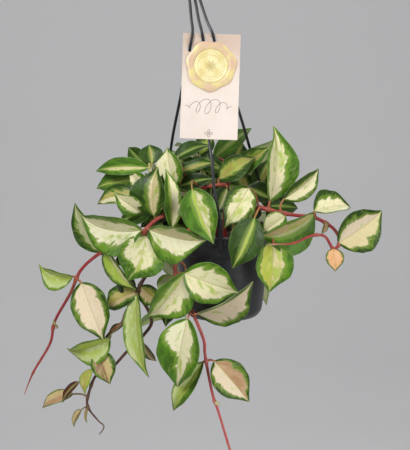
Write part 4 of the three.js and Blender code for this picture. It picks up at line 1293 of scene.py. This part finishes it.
def crumbs_recipe():
    """Crumbs scattered over the soil, each with its own size, turn and kind."""
    recipe = Recipe("crumbs", {"Density": float, "Largest": float, "Seed": int, "Finish": "material"})
    tree = recipe.tree
    normal = out(tree, "GeometryNodeInputNormal")
    faces_up = work("GREATER_THAN", parts(normal)[2], 0.5)
    scatter = add(tree, "GeometryNodeDistributePointsOnFaces", {
        "Mesh": recipe["Geometry"], "Selection": faces_up, "Density": recipe["Density"],
        "Seed": recipe["Seed"],
    })
    points = Wire(tree, scatter.outputs["Points"])

    def random_number(low, high, shift):
        values = {2: low, 3: high, "Seed": recipe["Seed"] + shift}
        return out(tree, "FunctionNodeRandomValue", values, 1, data_type="FLOAT")

    def random_vector(low, high, shift):
        values = {0: low, 1: high, "Seed": recipe["Seed"] + shift}
        return out(tree, "FunctionNodeRandomValue", values, 0, data_type="FLOAT_VECTOR")

    points = stored(points, "kind", random_number(0.0, 1.0, 1))
    stone = out(tree, "GeometryNodeMeshIcoSphere", {"Radius": 1.0, "Subdivisions": 2})
    size = random_vector((0.25, 0.25, 0.2), (1.0, 0.8, 0.55), 2) * recipe["Largest"]
    turn = random_vector((-0.5, -0.5, 0.0), (0.5, 0.5, 6.28), 3)
    values = {"Points": points, "Instance": stone, "Rotation": turn, "Scale": size}
    crumbs = out(tree, "GeometryNodeInstanceOnPoints", values)
    crumbs = out(tree, "GeometryNodeRealizeInstances", {0: crumbs})
    lumps = (noise(here(tree), 420.0, 2.0) - 0.5) * 0.0011
    crumbs = out(tree, "GeometryNodeSetPosition", {0: crumbs, 3: normal * lumps})
    crumbs = out(tree, "GeometryNodeSetMaterial", {0: crumbs, 2: recipe["Finish"]})
    return recipe.ends_in(joined([recipe["Geometry"], crumbs]))


def drill(turned):
    """The rod that cuts one drain hole, at its angle round the pot's floor."""
    rod = bmesh.new()
    bmesh.ops.create_cone(
        rod, cap_ends=True, segments=28, radius1=DRAIN_RADIUS, radius2=DRAIN_RADIUS, depth=DRILL_LENGTH
    )
    side = Vector((DRAIN_CIRCLE * math.cos(turned), DRAIN_CIRCLE * math.sin(turned), POT_FLOOR))
    bmesh.ops.translate(rod, verts=rod.verts, vec=POT_CENTRE + side)
    return linked("drill", mesh_of(rod, "drill"))


def pot(turn):
    """Turns the pot from its outline, from the middle of its underside round to the inside of its
    floor, and cuts the drain holes."""
    ring = BASE_RADIUS - FOOT_INSET
    ledge = -LIP_HEIGHT - LEDGE_BELOW_LIP
    undercut = -LIP_HEIGHT - LIP_UNDERCUT
    outline = [
        (0, POT_FLOOR), (ring - 0.0005, POT_FLOOR), (ring, -POT_HEIGHT),
        (BASE_RADIUS - FOOT_CHAMFER, -POT_HEIGHT), (BASE_RADIUS + 0.0004, -POT_HEIGHT + FOOT_SIDE),
        (wall_radius(ledge) - 0.0004, ledge), (wall_radius(ledge) + 0.0002, ledge + LEDGE_HEIGHT),
        (wall_radius(undercut), undercut), (RIM_RADIUS - 0.0003, -LIP_HEIGHT),
        (RIM_RADIUS, -LIP_HEIGHT + 0.002), (RIM_RADIUS, -0.0008), (RIM_RADIUS - 0.0010, 0),
        (WALL_TOP_RADIUS - POT_WALL, 0), (wall_radius(POT_FLOOR) - POT_WALL, POT_FLOOR + POT_WALL),
        (0, POT_FLOOR + POT_WALL),
    ]
    form = turn.make(
        "nursery_pot", line_mesh("outline", rounded(outline, POT_ROUNDING)), sides=144, finish=pot_plastic()
    )
    placed(faces_out(form), POT_CENTRE)
    cut_from(form, [drill(2 * math.pi * hole / DRAIN_HOLES) for hole in range(DRAIN_HOLES)])
    mounted(crease(form, 32), "pot", "pot")


def soil(turn):
    """Turns the heap of soil, makes its top uneven and scatters the crumbs over it."""
    gap = POT_WALL + 2 * CLEARANCE
    top = -SOIL_DROP
    floor = POT_FLOOR + POT_WALL + CLEARANCE
    heap = [
        (0, floor), (wall_radius(floor) - gap, floor), (wall_radius(top) - gap, top - HEAP_EDGE_DROP),
        *((radius, top + rise) for radius, rise in HEAP_RINGS),
    ]
    fine = even_path(rounded(heap, 0.001), HEAP_STEP)
    form = turn.make("soil_heap", line_mesh("heap", fine), sides=120, finish=potting_mix())
    placed(faces_out(form), POT_CENTRE)
    for vertex in form.data.vertices:
        x, y, z = vertex.co
        if z > top - 0.003 - HANG_HEIGHT and math.hypot(x - HANG_OFFSET, y) < UNEVEN_REACH:
            vertex.co.z += UNEVEN_HEIGHT * math.sin(x * 310) * math.sin(y * 270 + x * 90) - 0.0004
    mesh = form.data.copy()
    bpy.data.objects.remove(form)
    crumbs = crumbs_recipe().make(
        "potting_mix", mesh, density=150000.0, largest=0.0034, seed=4, finish=crumb()
    )
    mounted(crumbs, "soil", "soil")


# Hanger

HOOK_RADIUS = 0.011
HOOK_ROD = 0.0024
HOOK_STEP = 0.0012
HUB_DROP = 0.040
STRAP_WIDTH = 0.0032
STRAP_THICKNESS = 0.0018
CLIP_WIDTH = 0.0058
CLIP_PLATE = 0.002
CLIP_RISE = 0.022
CLIP_BEVEL = 0.00045
LEG_GAP = 0.0016
LEG_DROP = 0.006
STRAP_ROUND = 0.0006
STRAP_LEAD = 0.008
CLIP_OVERLAP = 0.006
HUB_SINK = 0.0014
CARD_WIDTH = 0.064
CARD_HEIGHT = 0.1175
CARD_THICKNESS = 0.001
CARD_ROUND = 0.0012
CARD_BEVEL = 0.00012
CARD_TILT = math.radians(13)
CARD_LEAN = math.radians(1.9)
SEAL_BELOW_TOP = 0.036
SEAL_RADIUS = 0.0275
CARD_TOP = at(-11, 194, 11)
STAND_UP = Matrix.Rotation(math.pi / 2 - CARD_TILT, 3, "X") @ Matrix.Rotation(-CARD_LEAN, 3, "Z")


def on_card(right, above, stand_off):
    """A place near the card, in millimetres right of and above the seal's middle and off the card."""
    flat = Vector((right / 1000, above / 1000 - SEAL_BELOW_TOP, stand_off / 1000))
    return STAND_UP @ flat + CARD_TOP


def strap_plastic():
    """Black moulded strap: satin, drawn lengthwise, greyed where it is rubbed."""
    material, tree, surface = finish("strap_plastic", Coat_Weight=0.08, Coat_Roughness=0.35)
    place = object_place(tree)
    drawn = noise(place * vector(tree, 700, 700, 60), 1.0, 2.0)
    rubbed = smooth(noise(place, 140.0, 4.0, 0.65), 0.56, 0.78)
    colour = blend(drawn, "#0e0e11", "#1b1b1f")
    colour = blend(rubbed * 0.25, colour, "#57585d")
    dress(tree, surface, colour, 0.34 + drawn * 0.12 + rubbed * 0.2)
    bump(tree, surface, drawn + noise(place, 1200.0, 2.0) * 0.5, 0.0001, 0.4)
    return material


def drawing():
    """Draws a section along a line: a rounded flat one with its faces set by the line's own sides."""
    recipe = Recipe("drawing", {"Width": float, "Height": float, "Round": float, "Finish": "material"})
    tree = recipe.tree
    line = out(tree, "GeometryNodeMeshToCurve", {0: recipe["Geometry"]})
    flat = named_vector(tree, "flat")
    line = out(tree, "GeometryNodeSetCurveNormal", {"Curve": line, "Normal": flat}, mode="FREE")
    sizes = {"Width": recipe["Width"], "Height": recipe["Height"]}
    section = out(tree, "GeometryNodeCurvePrimitiveQuadrilateral", sizes, mode="RECTANGLE")
    corners = {"Curve": section, "Radius": recipe["Round"], "Count": 4}
    section = out(tree, "GeometryNodeFilletCurve", corners, mode="POLY")
    thick = named(tree, "thick")
    return recipe.ends_smooth(
        out(tree, "GeometryNodeCurveToMesh", {0: line, 1: section, "Scale": thick, "Fill Caps": True})
    )


def drawn_line(name, points, flat, ends=1.0):
    """A line for the drawing recipe. flat is the direction that the flat side is turned to all the
    way; ends is how small the section gets at both ends."""
    mesh = line_mesh(name, points)
    sides = []
    for index in range(len(points)):
        ahead = (points[min(index + 1, len(points) - 1)] - points[max(index - 1, 0)]).normalized()
        sides.extend((flat - ahead * flat.dot(ahead)).normalized())
    mesh.attributes.new("flat", "FLOAT_VECTOR", "POINT").data.foreach_set("vector", sides)
    last = len(points) - 1
    thick = []
    for index in range(len(points)):
        near = min(index, last - index)
        thick.append(1.0 if near > 3 else ends + (1 - ends) * math.sqrt(1 - (1 - near / 4) ** 2))
    mesh.attributes.new("thick", "FLOAT", "POINT").data.foreach_set("value", thick)
    return mesh


def joined_piece(name, pieces):
    """Several pieces as one mesh."""
    whole = bmesh.new()
    material = pieces[0].data.materials[0]
    for piece in pieces:
        whole.from_mesh(piece.data)
        bpy.data.objects.remove(piece)
    mesh = mesh_of(whole, name)
    mesh.materials.append(material)
    return linked(name, mesh)


def clip(name, degrees, material):
    """A clip that grips the lip: an outer plate, a bridge over the rim, an inner leg and a claw."""
    outer = RIM_RADIUS + CLEARANCE
    inner = WALL_TOP_RADIUS - POT_WALL - LEG_GAP
    claw = WALL_TOP_RADIUS + CLEARANCE
    under = -LIP_HEIGHT - LIP_UNDERCUT - CLEARANCE
    outline = [
        (outer + CLIP_PLATE, CLIP_RISE), (outer + CLIP_PLATE, under - CLIP_PLATE),
        (claw, under - CLIP_PLATE), (claw, under), (outer, under), (outer, CLEARANCE), (inner, CLEARANCE),
        (inner, -LEG_DROP), (inner - CLIP_PLATE, -LEG_DROP), (inner - CLIP_PLATE, CLEARANCE + CLIP_PLATE),
        (outer, CLEARANCE + CLIP_PLATE), (outer, CLIP_RISE),
    ]
    turn = math.radians(degrees)
    shape = extruded([(r, -CLIP_WIDTH / 2, z) for r, z in outline], (0, CLIP_WIDTH, 0))
    for vertex in shape.verts:
        r, t, z = vertex.co
        vertex.co = (
            HANG_OFFSET + r * math.cos(turn) - t * math.sin(turn),
            r * math.sin(turn) + t * math.cos(turn),
            z - HANG_HEIGHT,
        )
    mesh = mesh_of(shape, name)
    mesh.materials.append(material)
    return crease(bevelled(linked(name, mesh), CLIP_BEVEL, 3))


STRAP_CLIPS = {"left": 150, "front": 266, "right": 30}
STRAP_TOPS = {"left": (-0.0038, 0), "front": (0, -0.0038), "right": (0.0038, 0)}
STRAP_ROUTES = {
    "left": [
        at(-33.5, 228, 3), at(-31.7, 209, 9), on_card(-21.6, 38, 3.1), on_card(-23.3, 23.5, 2.8),
        on_card(-24, 18.4, 0.4), on_card(-24.4, 13.5, -1.9), on_card(-27, 3, -5), at(-43, 128, 3),
        at(-50.5, 90, -11), at(-54, 60, -20), at(-53, 38, -24),
    ],
    "front": [
        at(-28, 228, 6), at(-24.2, 208, 10.5), on_card(-11.6, 38.5, 3.1), on_card(-10.5, 33.6, 2.8),
        on_card(-9.4, 28.6, 0.1), on_card(-8.8, 24.5, -1.8), on_card(-6, 5, -2.2), on_card(-2, -40, -2),
        on_card(0.8, -83, -2), at(-10.8, 67, 40), at(-9, 40, 47),
    ],
    "right": [
        at(-23, 228, 4), at(-15.6, 206, 10), on_card(-0.6, 39, 3.1), on_card(1.1, 34.4, 2.8),
        on_card(2.6, 29.8, 0.1), on_card(3.9, 25.6, -1.8), on_card(9, 14, -5), at(15.5, 118, 2),
        at(27, 79.5, -11), at(38, 42, -23),
    ],
}


def hanger(turn):
    """The hook with its hub, and the three straps with their clips."""
    draw_along = drawing()
    plastic = strap_plastic()
    reach = HOOK_RADIUS + HOOK_ROD
    bow = [
        (0, -HUB_DROP + 0.002), (0.0015, -HUB_DROP + 0.008), (0.0095, -0.024), (reach, -HOOK_RADIUS),
        (0.71 * reach, -HOOK_RADIUS + 0.71 * reach), (0, HOOK_ROD),
        (-0.71 * reach, -HOOK_RADIUS + 0.71 * reach),
        (-reach, -HOOK_RADIUS), (-reach + 0.0015, -HOOK_RADIUS - 0.007),
    ]
    points = even_path(smooth_path([Vector((x, 0, z)) for x, z in bow]), HOOK_STEP)
    rod = draw_along.make(
        "rod", drawn_line("rod", points, Vector((0, 1, 0)), 0.3), width=2 * HOOK_ROD, height=2 * HOOK_ROD,
        round=HOOK_ROD * 0.8, finish=plastic,
    )
    knob = [
        (0, -HUB_DROP - 0.006), (0.0075, -HUB_DROP - 0.006), (0.0085, -HUB_DROP - 0.004),
        (0.0070, -HUB_DROP + 0.002), (0.0030, -HUB_DROP + 0.006), (0, -HUB_DROP + 0.006),
    ]
    hub = faces_out(turn.make("hub", line_mesh("knob", rounded(knob, 0.0014)), sides=64, finish=plastic))
    mounted(crease(joined_piece("hanger_top", [faces_out(rod), hub])), "hanger", "hanger_hook")
    for side, route in STRAP_ROUTES.items():
        top = Vector((*STRAP_TOPS[side], -HUB_DROP - HUB_SINK))
        foot = on_pot(STRAP_CLIPS[side], RIM_RADIUS + CLEARANCE + CLIP_PLATE / 2, CLIP_RISE)
        lead = Vector((0, 0, STRAP_LEAD))
        overlap = Vector((0, 0, CLIP_OVERLAP))
        line = [top, top - lead, *route, foot, foot - overlap]
        course = even_path(smooth_path(line), PATH_STEP)
        strip = draw_along.make(
            "strip", drawn_line("strip", course, Vector((0, 1, 0))), width=STRAP_THICKNESS,
            height=STRAP_WIDTH, round=STRAP_ROUND, finish=plastic,
        )
        grip = clip("grip", STRAP_CLIPS[side], plastic)
        strap = joined_piece(f"strap_{side}_fine", [faces_out(strip), grip])
        mounted(crease(strap), "hanger", f"strap_{side}")


# Tag

SLIT_INNER = 0.0225
SLIT_OUTER = 0.0255
SLIT_FROM = math.radians(66)
SLIT_TO = math.radians(214)
PASS_RADIUS = 0.0032
STRAP_PASSES = [(-0.0239, 0.0184), (-0.0094, 0.0289), (0.0026, 0.0301)]
SEAL_THICKNESS = 0.0022
ARC_STEPS = 24
INK_RISE = 0.00004
SCROLL_LOOPS = 5
SCROLL_LEFT = -0.027
SCROLL_RUN = 0.052
SCROLL_SWING = 0.0052
SCROLL_RISE = 0.0085
SCROLL_LEAN = 0.3
SCROLL_DROP = 0.081
KNOT_RADIUS = 0.0042
KNOT_DROP = 0.111
PEN = {"width": 0.00016, "height": 0.0005, "round": 0.00006}


def card_paper():
    """Heavy matt card: warm rose paper, washed paler across its middle, and fibres."""
    material, tree, surface = finish("card_paper", Roughness=0.82)
    place = object_place(tree)
    height = parts(place)[2]
    low = (height - (CARD_TOP.z - CARD_HEIGHT)) / CARD_HEIGHT
    wash = 1 - smooth(low, 0.5, 0.97)
    cloud = noise(place, 32.0, 4.0, 0.6)
    fibre = noise(place * vector(tree, 900, 300, 2200), 1.0, 2.0)
    colour = blend(wash * 0.85 + (cloud - 0.5) * 0.7, "#c6b1a0", "#e6dad0")
    colour = blend(smooth(cloud, 0.55, 0.75) * (0.4 - wash * 0.2), colour, "#c9a894")
    colour = blend(smooth(fibre, 0.6, 0.75) * 0.08, colour, "#b59c86")
    dress(tree, surface, colour)
    bump(tree, surface, fibre + cloud * 0.5, 0.0001, 0.3)
    return material


def seal_gold():
    """Printed gold seal: pale yellow gold on the raised disc, rose gold round the rim."""
    material, tree, surface = finish("seal_gold", Metallic=0.08, Coat_Weight=0.2, Coat_Roughness=0.3)
    place = object_place(tree)
    ring = named(tree, "ring")
    relief = named(tree, "relief")
    cloud = noise(place, 90.0, 3.0)
    disc = blend(smooth(cloud, 0.35, 0.65), "#dccb86", "#e6dba6")
    rim = blend(smooth(cloud, 0.42, 0.6), "#d3b494", "#dccb88")
    colour = blend(smooth(ring, 0.6, 0.66), disc, rim)
    line = smooth(ring, 0.6, 0.615) * (1 - smooth(ring, 0.63, 0.645))
    colour = blend(line * 0.5, colour, "#8a6238")
    colour = blend(smooth(relief, 0.2, 0.8) * 0.45, colour, "#96783a")
    dress(tree, surface, colour, 0.34 + cloud * 0.2)
    bump(tree, surface, noise(place, 1500.0, 2.0), 0.0001, 0.25)
    return material


def ink():
    """Grey-brown ink that comes out a little uneven."""
    material, tree, surface = finish("tag_ink", Roughness=0.7)
    uneven = noise(object_place(tree), 260.0, 3.0)
    dress(tree, surface, blend(uneven, "#5c5158", "#8b7e80"))
    return material


def on_tag(flat):
    """A drawn-flat place in metres (right, up from the card's top edge, off the card) stood up."""
    return on_card(flat[0] * 1000, (flat[1] + SEAL_BELOW_TOP) * 1000, flat[2] * 1000)


def plate(name, outline, low, high):
    """A flat outline with a thickness, drawn flat."""
    shape = extruded([(x, y, low) for x, y in outline], (0, 0, high - low))
    return linked(name, mesh_of(shape, name))


def circle_point(radius, turned, middle=(0, 0)):
    return middle[0] + radius * math.cos(turned), middle[1] + radius * math.sin(turned)


def tag():
    """The card with its slit and the straps' holes, then what is on it."""
    half = CARD_WIDTH / 2
    corners = [(-half, 0), (-half, -CARD_HEIGHT), (half, -CARD_HEIGHT), (half, 0)]
    card = plate("tag_card_fine", rounded(corners, CARD_ROUND, closed=True), 0, CARD_THICKNESS)
    turns = [SLIT_FROM + (SLIT_TO - SLIT_FROM) * step / ARC_STEPS for step in range(ARC_STEPS + 1)]
    slit = [circle_point(SLIT_OUTER, turned, (0, -SEAL_BELOW_TOP)) for turned in turns]
    slit += [circle_point(SLIT_INNER, turned, (0, -SEAL_BELOW_TOP)) for turned in reversed(turns)]
    tools = [plate("slit", slit, -0.002, 0.003)]
    circle = [2 * math.pi * step / ARC_STEPS for step in range(ARC_STEPS)]
    for right, above in STRAP_PASSES:
        middle = (right, above - SEAL_BELOW_TOP)
        hole = [circle_point(PASS_RADIUS, turned, middle) for turned in circle]
        tools.append(plate("pass", hole, -0.003, 0.004))
    bevelled(cut_from(card, tools), CARD_BEVEL, 2)
    for vertex in card.data.vertices:
        vertex.co = on_tag(vertex.co)
    card.data.materials.clear()
    card.data.materials.append(card_paper())
    mounted(crease(card, 30), "card", "tag_card")
    seal()
    flourish()


def seal_recipe():
    """A round seal pressed from a drop: a wavy raised rim, a ring, and a rosette in its middle."""
    recipe = Recipe("seal", {
        "Radius": float, "Thickness": float, "Rings": int, "Sides": int, "Finish": "material",
    })
    tree = recipe.tree
    grid = flat_grid(tree, recipe["Rings"], recipe["Sides"] + 1)
    x, y, _ = parts(here(tree))
    grid = stored(grid, "ring", x + 0.5)
    grid = stored(grid, "turn", (y + 0.5) * (2 * math.pi))
    ring = named(tree, "ring")
    turn = named(tree, "turn")
    share = work("MINIMUM", ring / 0.9, 1.0)
    wavy = work("SINE", turn * 7) * 0.035 + work("SINE", turn * 3 + 1) * 0.03 + 1
    radius = recipe["Radius"] * share * (1 + (wavy - 1) * smooth(share, 0.6, 1.0))

    def ridge(middle, span):
        return work("EXPONENT", ((share - middle) / span) ** 2 * -1.0)

    petals = abs(work("SINE", turn * 4))
    rosette = (1 - smooth(share, 0.06, 0.4)) * smooth(petals - share * 1.6, -0.05, 0.2) + ridge(0.44, 0.012)
    beads = ridge(0.53, 0.022) * smooth(work("SINE", turn * 28), 0.1, 0.6)
    relief = rosette * 0.8 + beads
    swell = 0.2 * smooth(share, 0.66, 0.8) * (1 - smooth(share, 0.9, 1.0))
    lumps = noise(vector(tree, work("COSINE", turn) * 2, work("SINE", turn) * 2, share * 2), 1.0, 2.0) - 0.5
    height = (
        recipe["Thickness"] * (0.62 + swell + 0.15 * ridge(0.63, 0.02))
        + relief * 0.00032
        + lumps * 0.0006 * smooth(share, 0.66, 0.75)
    )
    height = work("MINIMUM", height, recipe["Thickness"])
    height = height * (1 - smooth(ring, 0.88, 0.97) * 0.5) * (1 - smooth(ring, 0.95, 0.99))
    grid = stored(grid, "relief", relief)
    place = vector(tree, radius * work("COSINE", turn), radius * work("SINE", turn), height)
    form = out(tree, "GeometryNodeSetPosition", {0: grid, 2: place})
    return recipe.ends_smooth(out(tree, "GeometryNodeMergeByDistance", {0: form, 2: SEAM}))


def seal():
    """The seal's front comes from its recipe; its back is closed with one flat face."""
    piece = seal_recipe().make(
        "tag_seal_fine", bpy.data.meshes.new("seal"), radius=SEAL_RADIUS, thickness=SEAL_THICKNESS,
        rings=120, sides=224, finish=seal_gold(),
    )
    mesh = bmesh.new()
    mesh.from_mesh(piece.data)
    bmesh.ops.holes_fill(mesh, edges=[edge for edge in mesh.edges if edge.is_boundary], sides=0)
    bmesh.ops.recalc_face_normals(mesh, faces=mesh.faces)
    mesh.to_mesh(piece.data)
    mesh.free()
    for vertex in piece.data.vertices:
        x, y, z = vertex.co
        vertex.co = on_tag((x, y - SEAL_BELOW_TOP, z + CARD_THICKNESS + CLEARANCE))
    mounted(crease(piece, 50), "seal", "tag_seal")


def scroll_point(share):
    """A place on the looped line below the seal, whose loops swell towards its middle."""
    turned = 2 * math.pi * SCROLL_LOOPS * share
    swell = math.sin(math.pi * share)
    above = SCROLL_RISE * math.cos(turned) * swell
    right = SCROLL_LEFT + SCROLL_RUN * share + SCROLL_SWING * math.sin(turned) * swell + SCROLL_LEAN * above
    return right, above - SCROLL_DROP


def knot_point(share):
    """A place on the four-leaved knot near the card's foot."""
    turned = 2 * math.pi * share
    return circle_point(KNOT_RADIUS * math.cos(2 * turned), turned, (0, -KNOT_DROP))


def flourish():
    """A plain penned scroll below the seal, and a small knot near the card's foot."""
    pens = []
    draw_along = drawing()
    dark = ink()
    off = (on_tag((0, 0, 1)) - on_tag((0, 0, 0))).normalized()
    for rule, count in ((scroll_point, 160), (knot_point, 80)):
        line = [rule(step / count) for step in range(count + 1)]
        points = [on_tag((x, y, CARD_THICKNESS + INK_RISE)) for x, y in line]
        pen = draw_along.make("pen", drawn_line("pen", points, off, 0.4), **PEN, finish=dark)
        pens.append(faces_out(pen))
    mounted(crease(joined_piece("tag_scroll", pens)), "card")


turn_round = turning()
pot(turn_round)
soil(turn_round)
hanger(turn_round)
tag()


# Camera, light and backdrop


SENSOR_HEIGHT = 24
LIGHT_AIM = (0.02, 0, -0.32)
LIGHTS = {
    "key": ((-0.9, -1.6, 0.9), 0.8, 33),
    "fill": ((1.3, -1.1, 0.3), 1.3, 11),
    "top": ((0.1, 0.3, 1.5), 1.4, 10),
    "rear": ((0.6, 1.7, 0.6), 1.4, 12),
    "low": ((1.1, -1.4, -0.5), 1.2, 8, (0.02, 0, -0.4)),
    "wall": ((0, 1.2, 0.3), 1.6, 14.5, (0, 3.2, -0.9)),
}
FLOOR_HEIGHT = -1.5
FLOOR_RADIUS = 2.2
COVE_RADIUS = 1.2
WALL_TOP = 3.2
ROOM_SIDES = 64


def camera():
    """The photograph's camera: level with the pot's rim, a little above it, tilted down."""
    lens = bpy.data.cameras.new("camera")
    lens.sensor_fit = "VERTICAL"
    lens.sensor_height = SENSOR_HEIGHT
    lens.lens = SENSOR_HEIGHT / 2 * VIEW_RANGE / (PICTURE_HEIGHT * GRID / 2)
    lens.clip_end = 50
    eye = linked("camera", lens)
    ahead = Vector((0, math.cos(VIEW_TILT), -math.sin(VIEW_TILT)))
    above = Vector((0, math.sin(VIEW_TILT), math.cos(VIEW_TILT)))
    middle = Vector((HANG_OFFSET + VIEW_RIGHT * GRID, 0, -HANG_HEIGHT)) + above * VIEW_UP * GRID
    eye.location = middle - ahead * VIEW_RANGE
    eye.rotation_euler = (math.pi / 2 - VIEW_TILT, 0, 0)
    bpy.context.scene.camera = eye


def soft_light(name, place, size, power, aim=LIGHT_AIM):
    """A round soft lamp that the camera doesn't see."""
    lamp = bpy.data.lights.new(name, "AREA")
    lamp.shape = "DISK"
    lamp.size = size
    lamp.energy = power
    light = linked(name, lamp)
    light.location = place
    light.rotation_euler = (Vector(aim) - Vector(place)).to_track_quat("-Z", "Y").to_euler()
    light.visible_camera = False


def backdrop():
    """A plain pale bowl of floor and wall all round, far enough out to look from any side."""
    material, tree, surface = finish("backdrop", Roughness=0.9)
    tone = noise(object_place(tree), 0.6, 2.0)
    dress(tree, surface, blend(tone, "#c4c4c6", "#cbcbcc"))
    bowl_middle = FLOOR_HEIGHT + COVE_RADIUS
    bends = (0.26, 0.52, 0.79, 1.05, 1.31, 1.57)
    profile = [
        (FLOOR_RADIUS, FLOOR_HEIGHT),
        *(
            (FLOOR_RADIUS + COVE_RADIUS * math.sin(bend), bowl_middle - COVE_RADIUS * math.cos(bend))
            for bend in bends
        ),
        (FLOOR_RADIUS + COVE_RADIUS, WALL_TOP),
    ]
    places = [
        (*circle_point(radius, 2 * math.pi * side / ROOM_SIDES), height)
        for radius, height in profile
        for side in range(ROOM_SIDES)
    ]
    places.append((0, 0, FLOOR_HEIGHT))
    faces = [[len(places) - 1, side, (side + 1) % ROOM_SIDES] for side in range(ROOM_SIDES)]
    for ring in range(len(profile) - 1):
        low = ring * ROOM_SIDES
        high = low + ROOM_SIDES
        for side in range(ROOM_SIDES):
            after = (side + 1) % ROOM_SIDES
            faces.append([low + side, high + side, high + after, low + after])
    mesh = bpy.data.meshes.new("backdrop")
    mesh.from_pydata(places, [], faces)
    mesh.shade_smooth()
    mesh.materials.append(material)
    linked("backdrop", mesh)


camera()
backdrop()
for name, lamp in LIGHTS.items():
    soft_light(name, *lamp)
world = bpy.data.worlds.new("studio")
world.use_nodes = True
world.node_tree.nodes["Background"].inputs["Color"].default_value = (0.84, 0.83, 0.81, 1)
world.node_tree.nodes["Background"].inputs["Strength"].default_value = 0.37
bpy.context.scene.world = world
bpy.context.scene.view_settings.view_transform = "Standard"
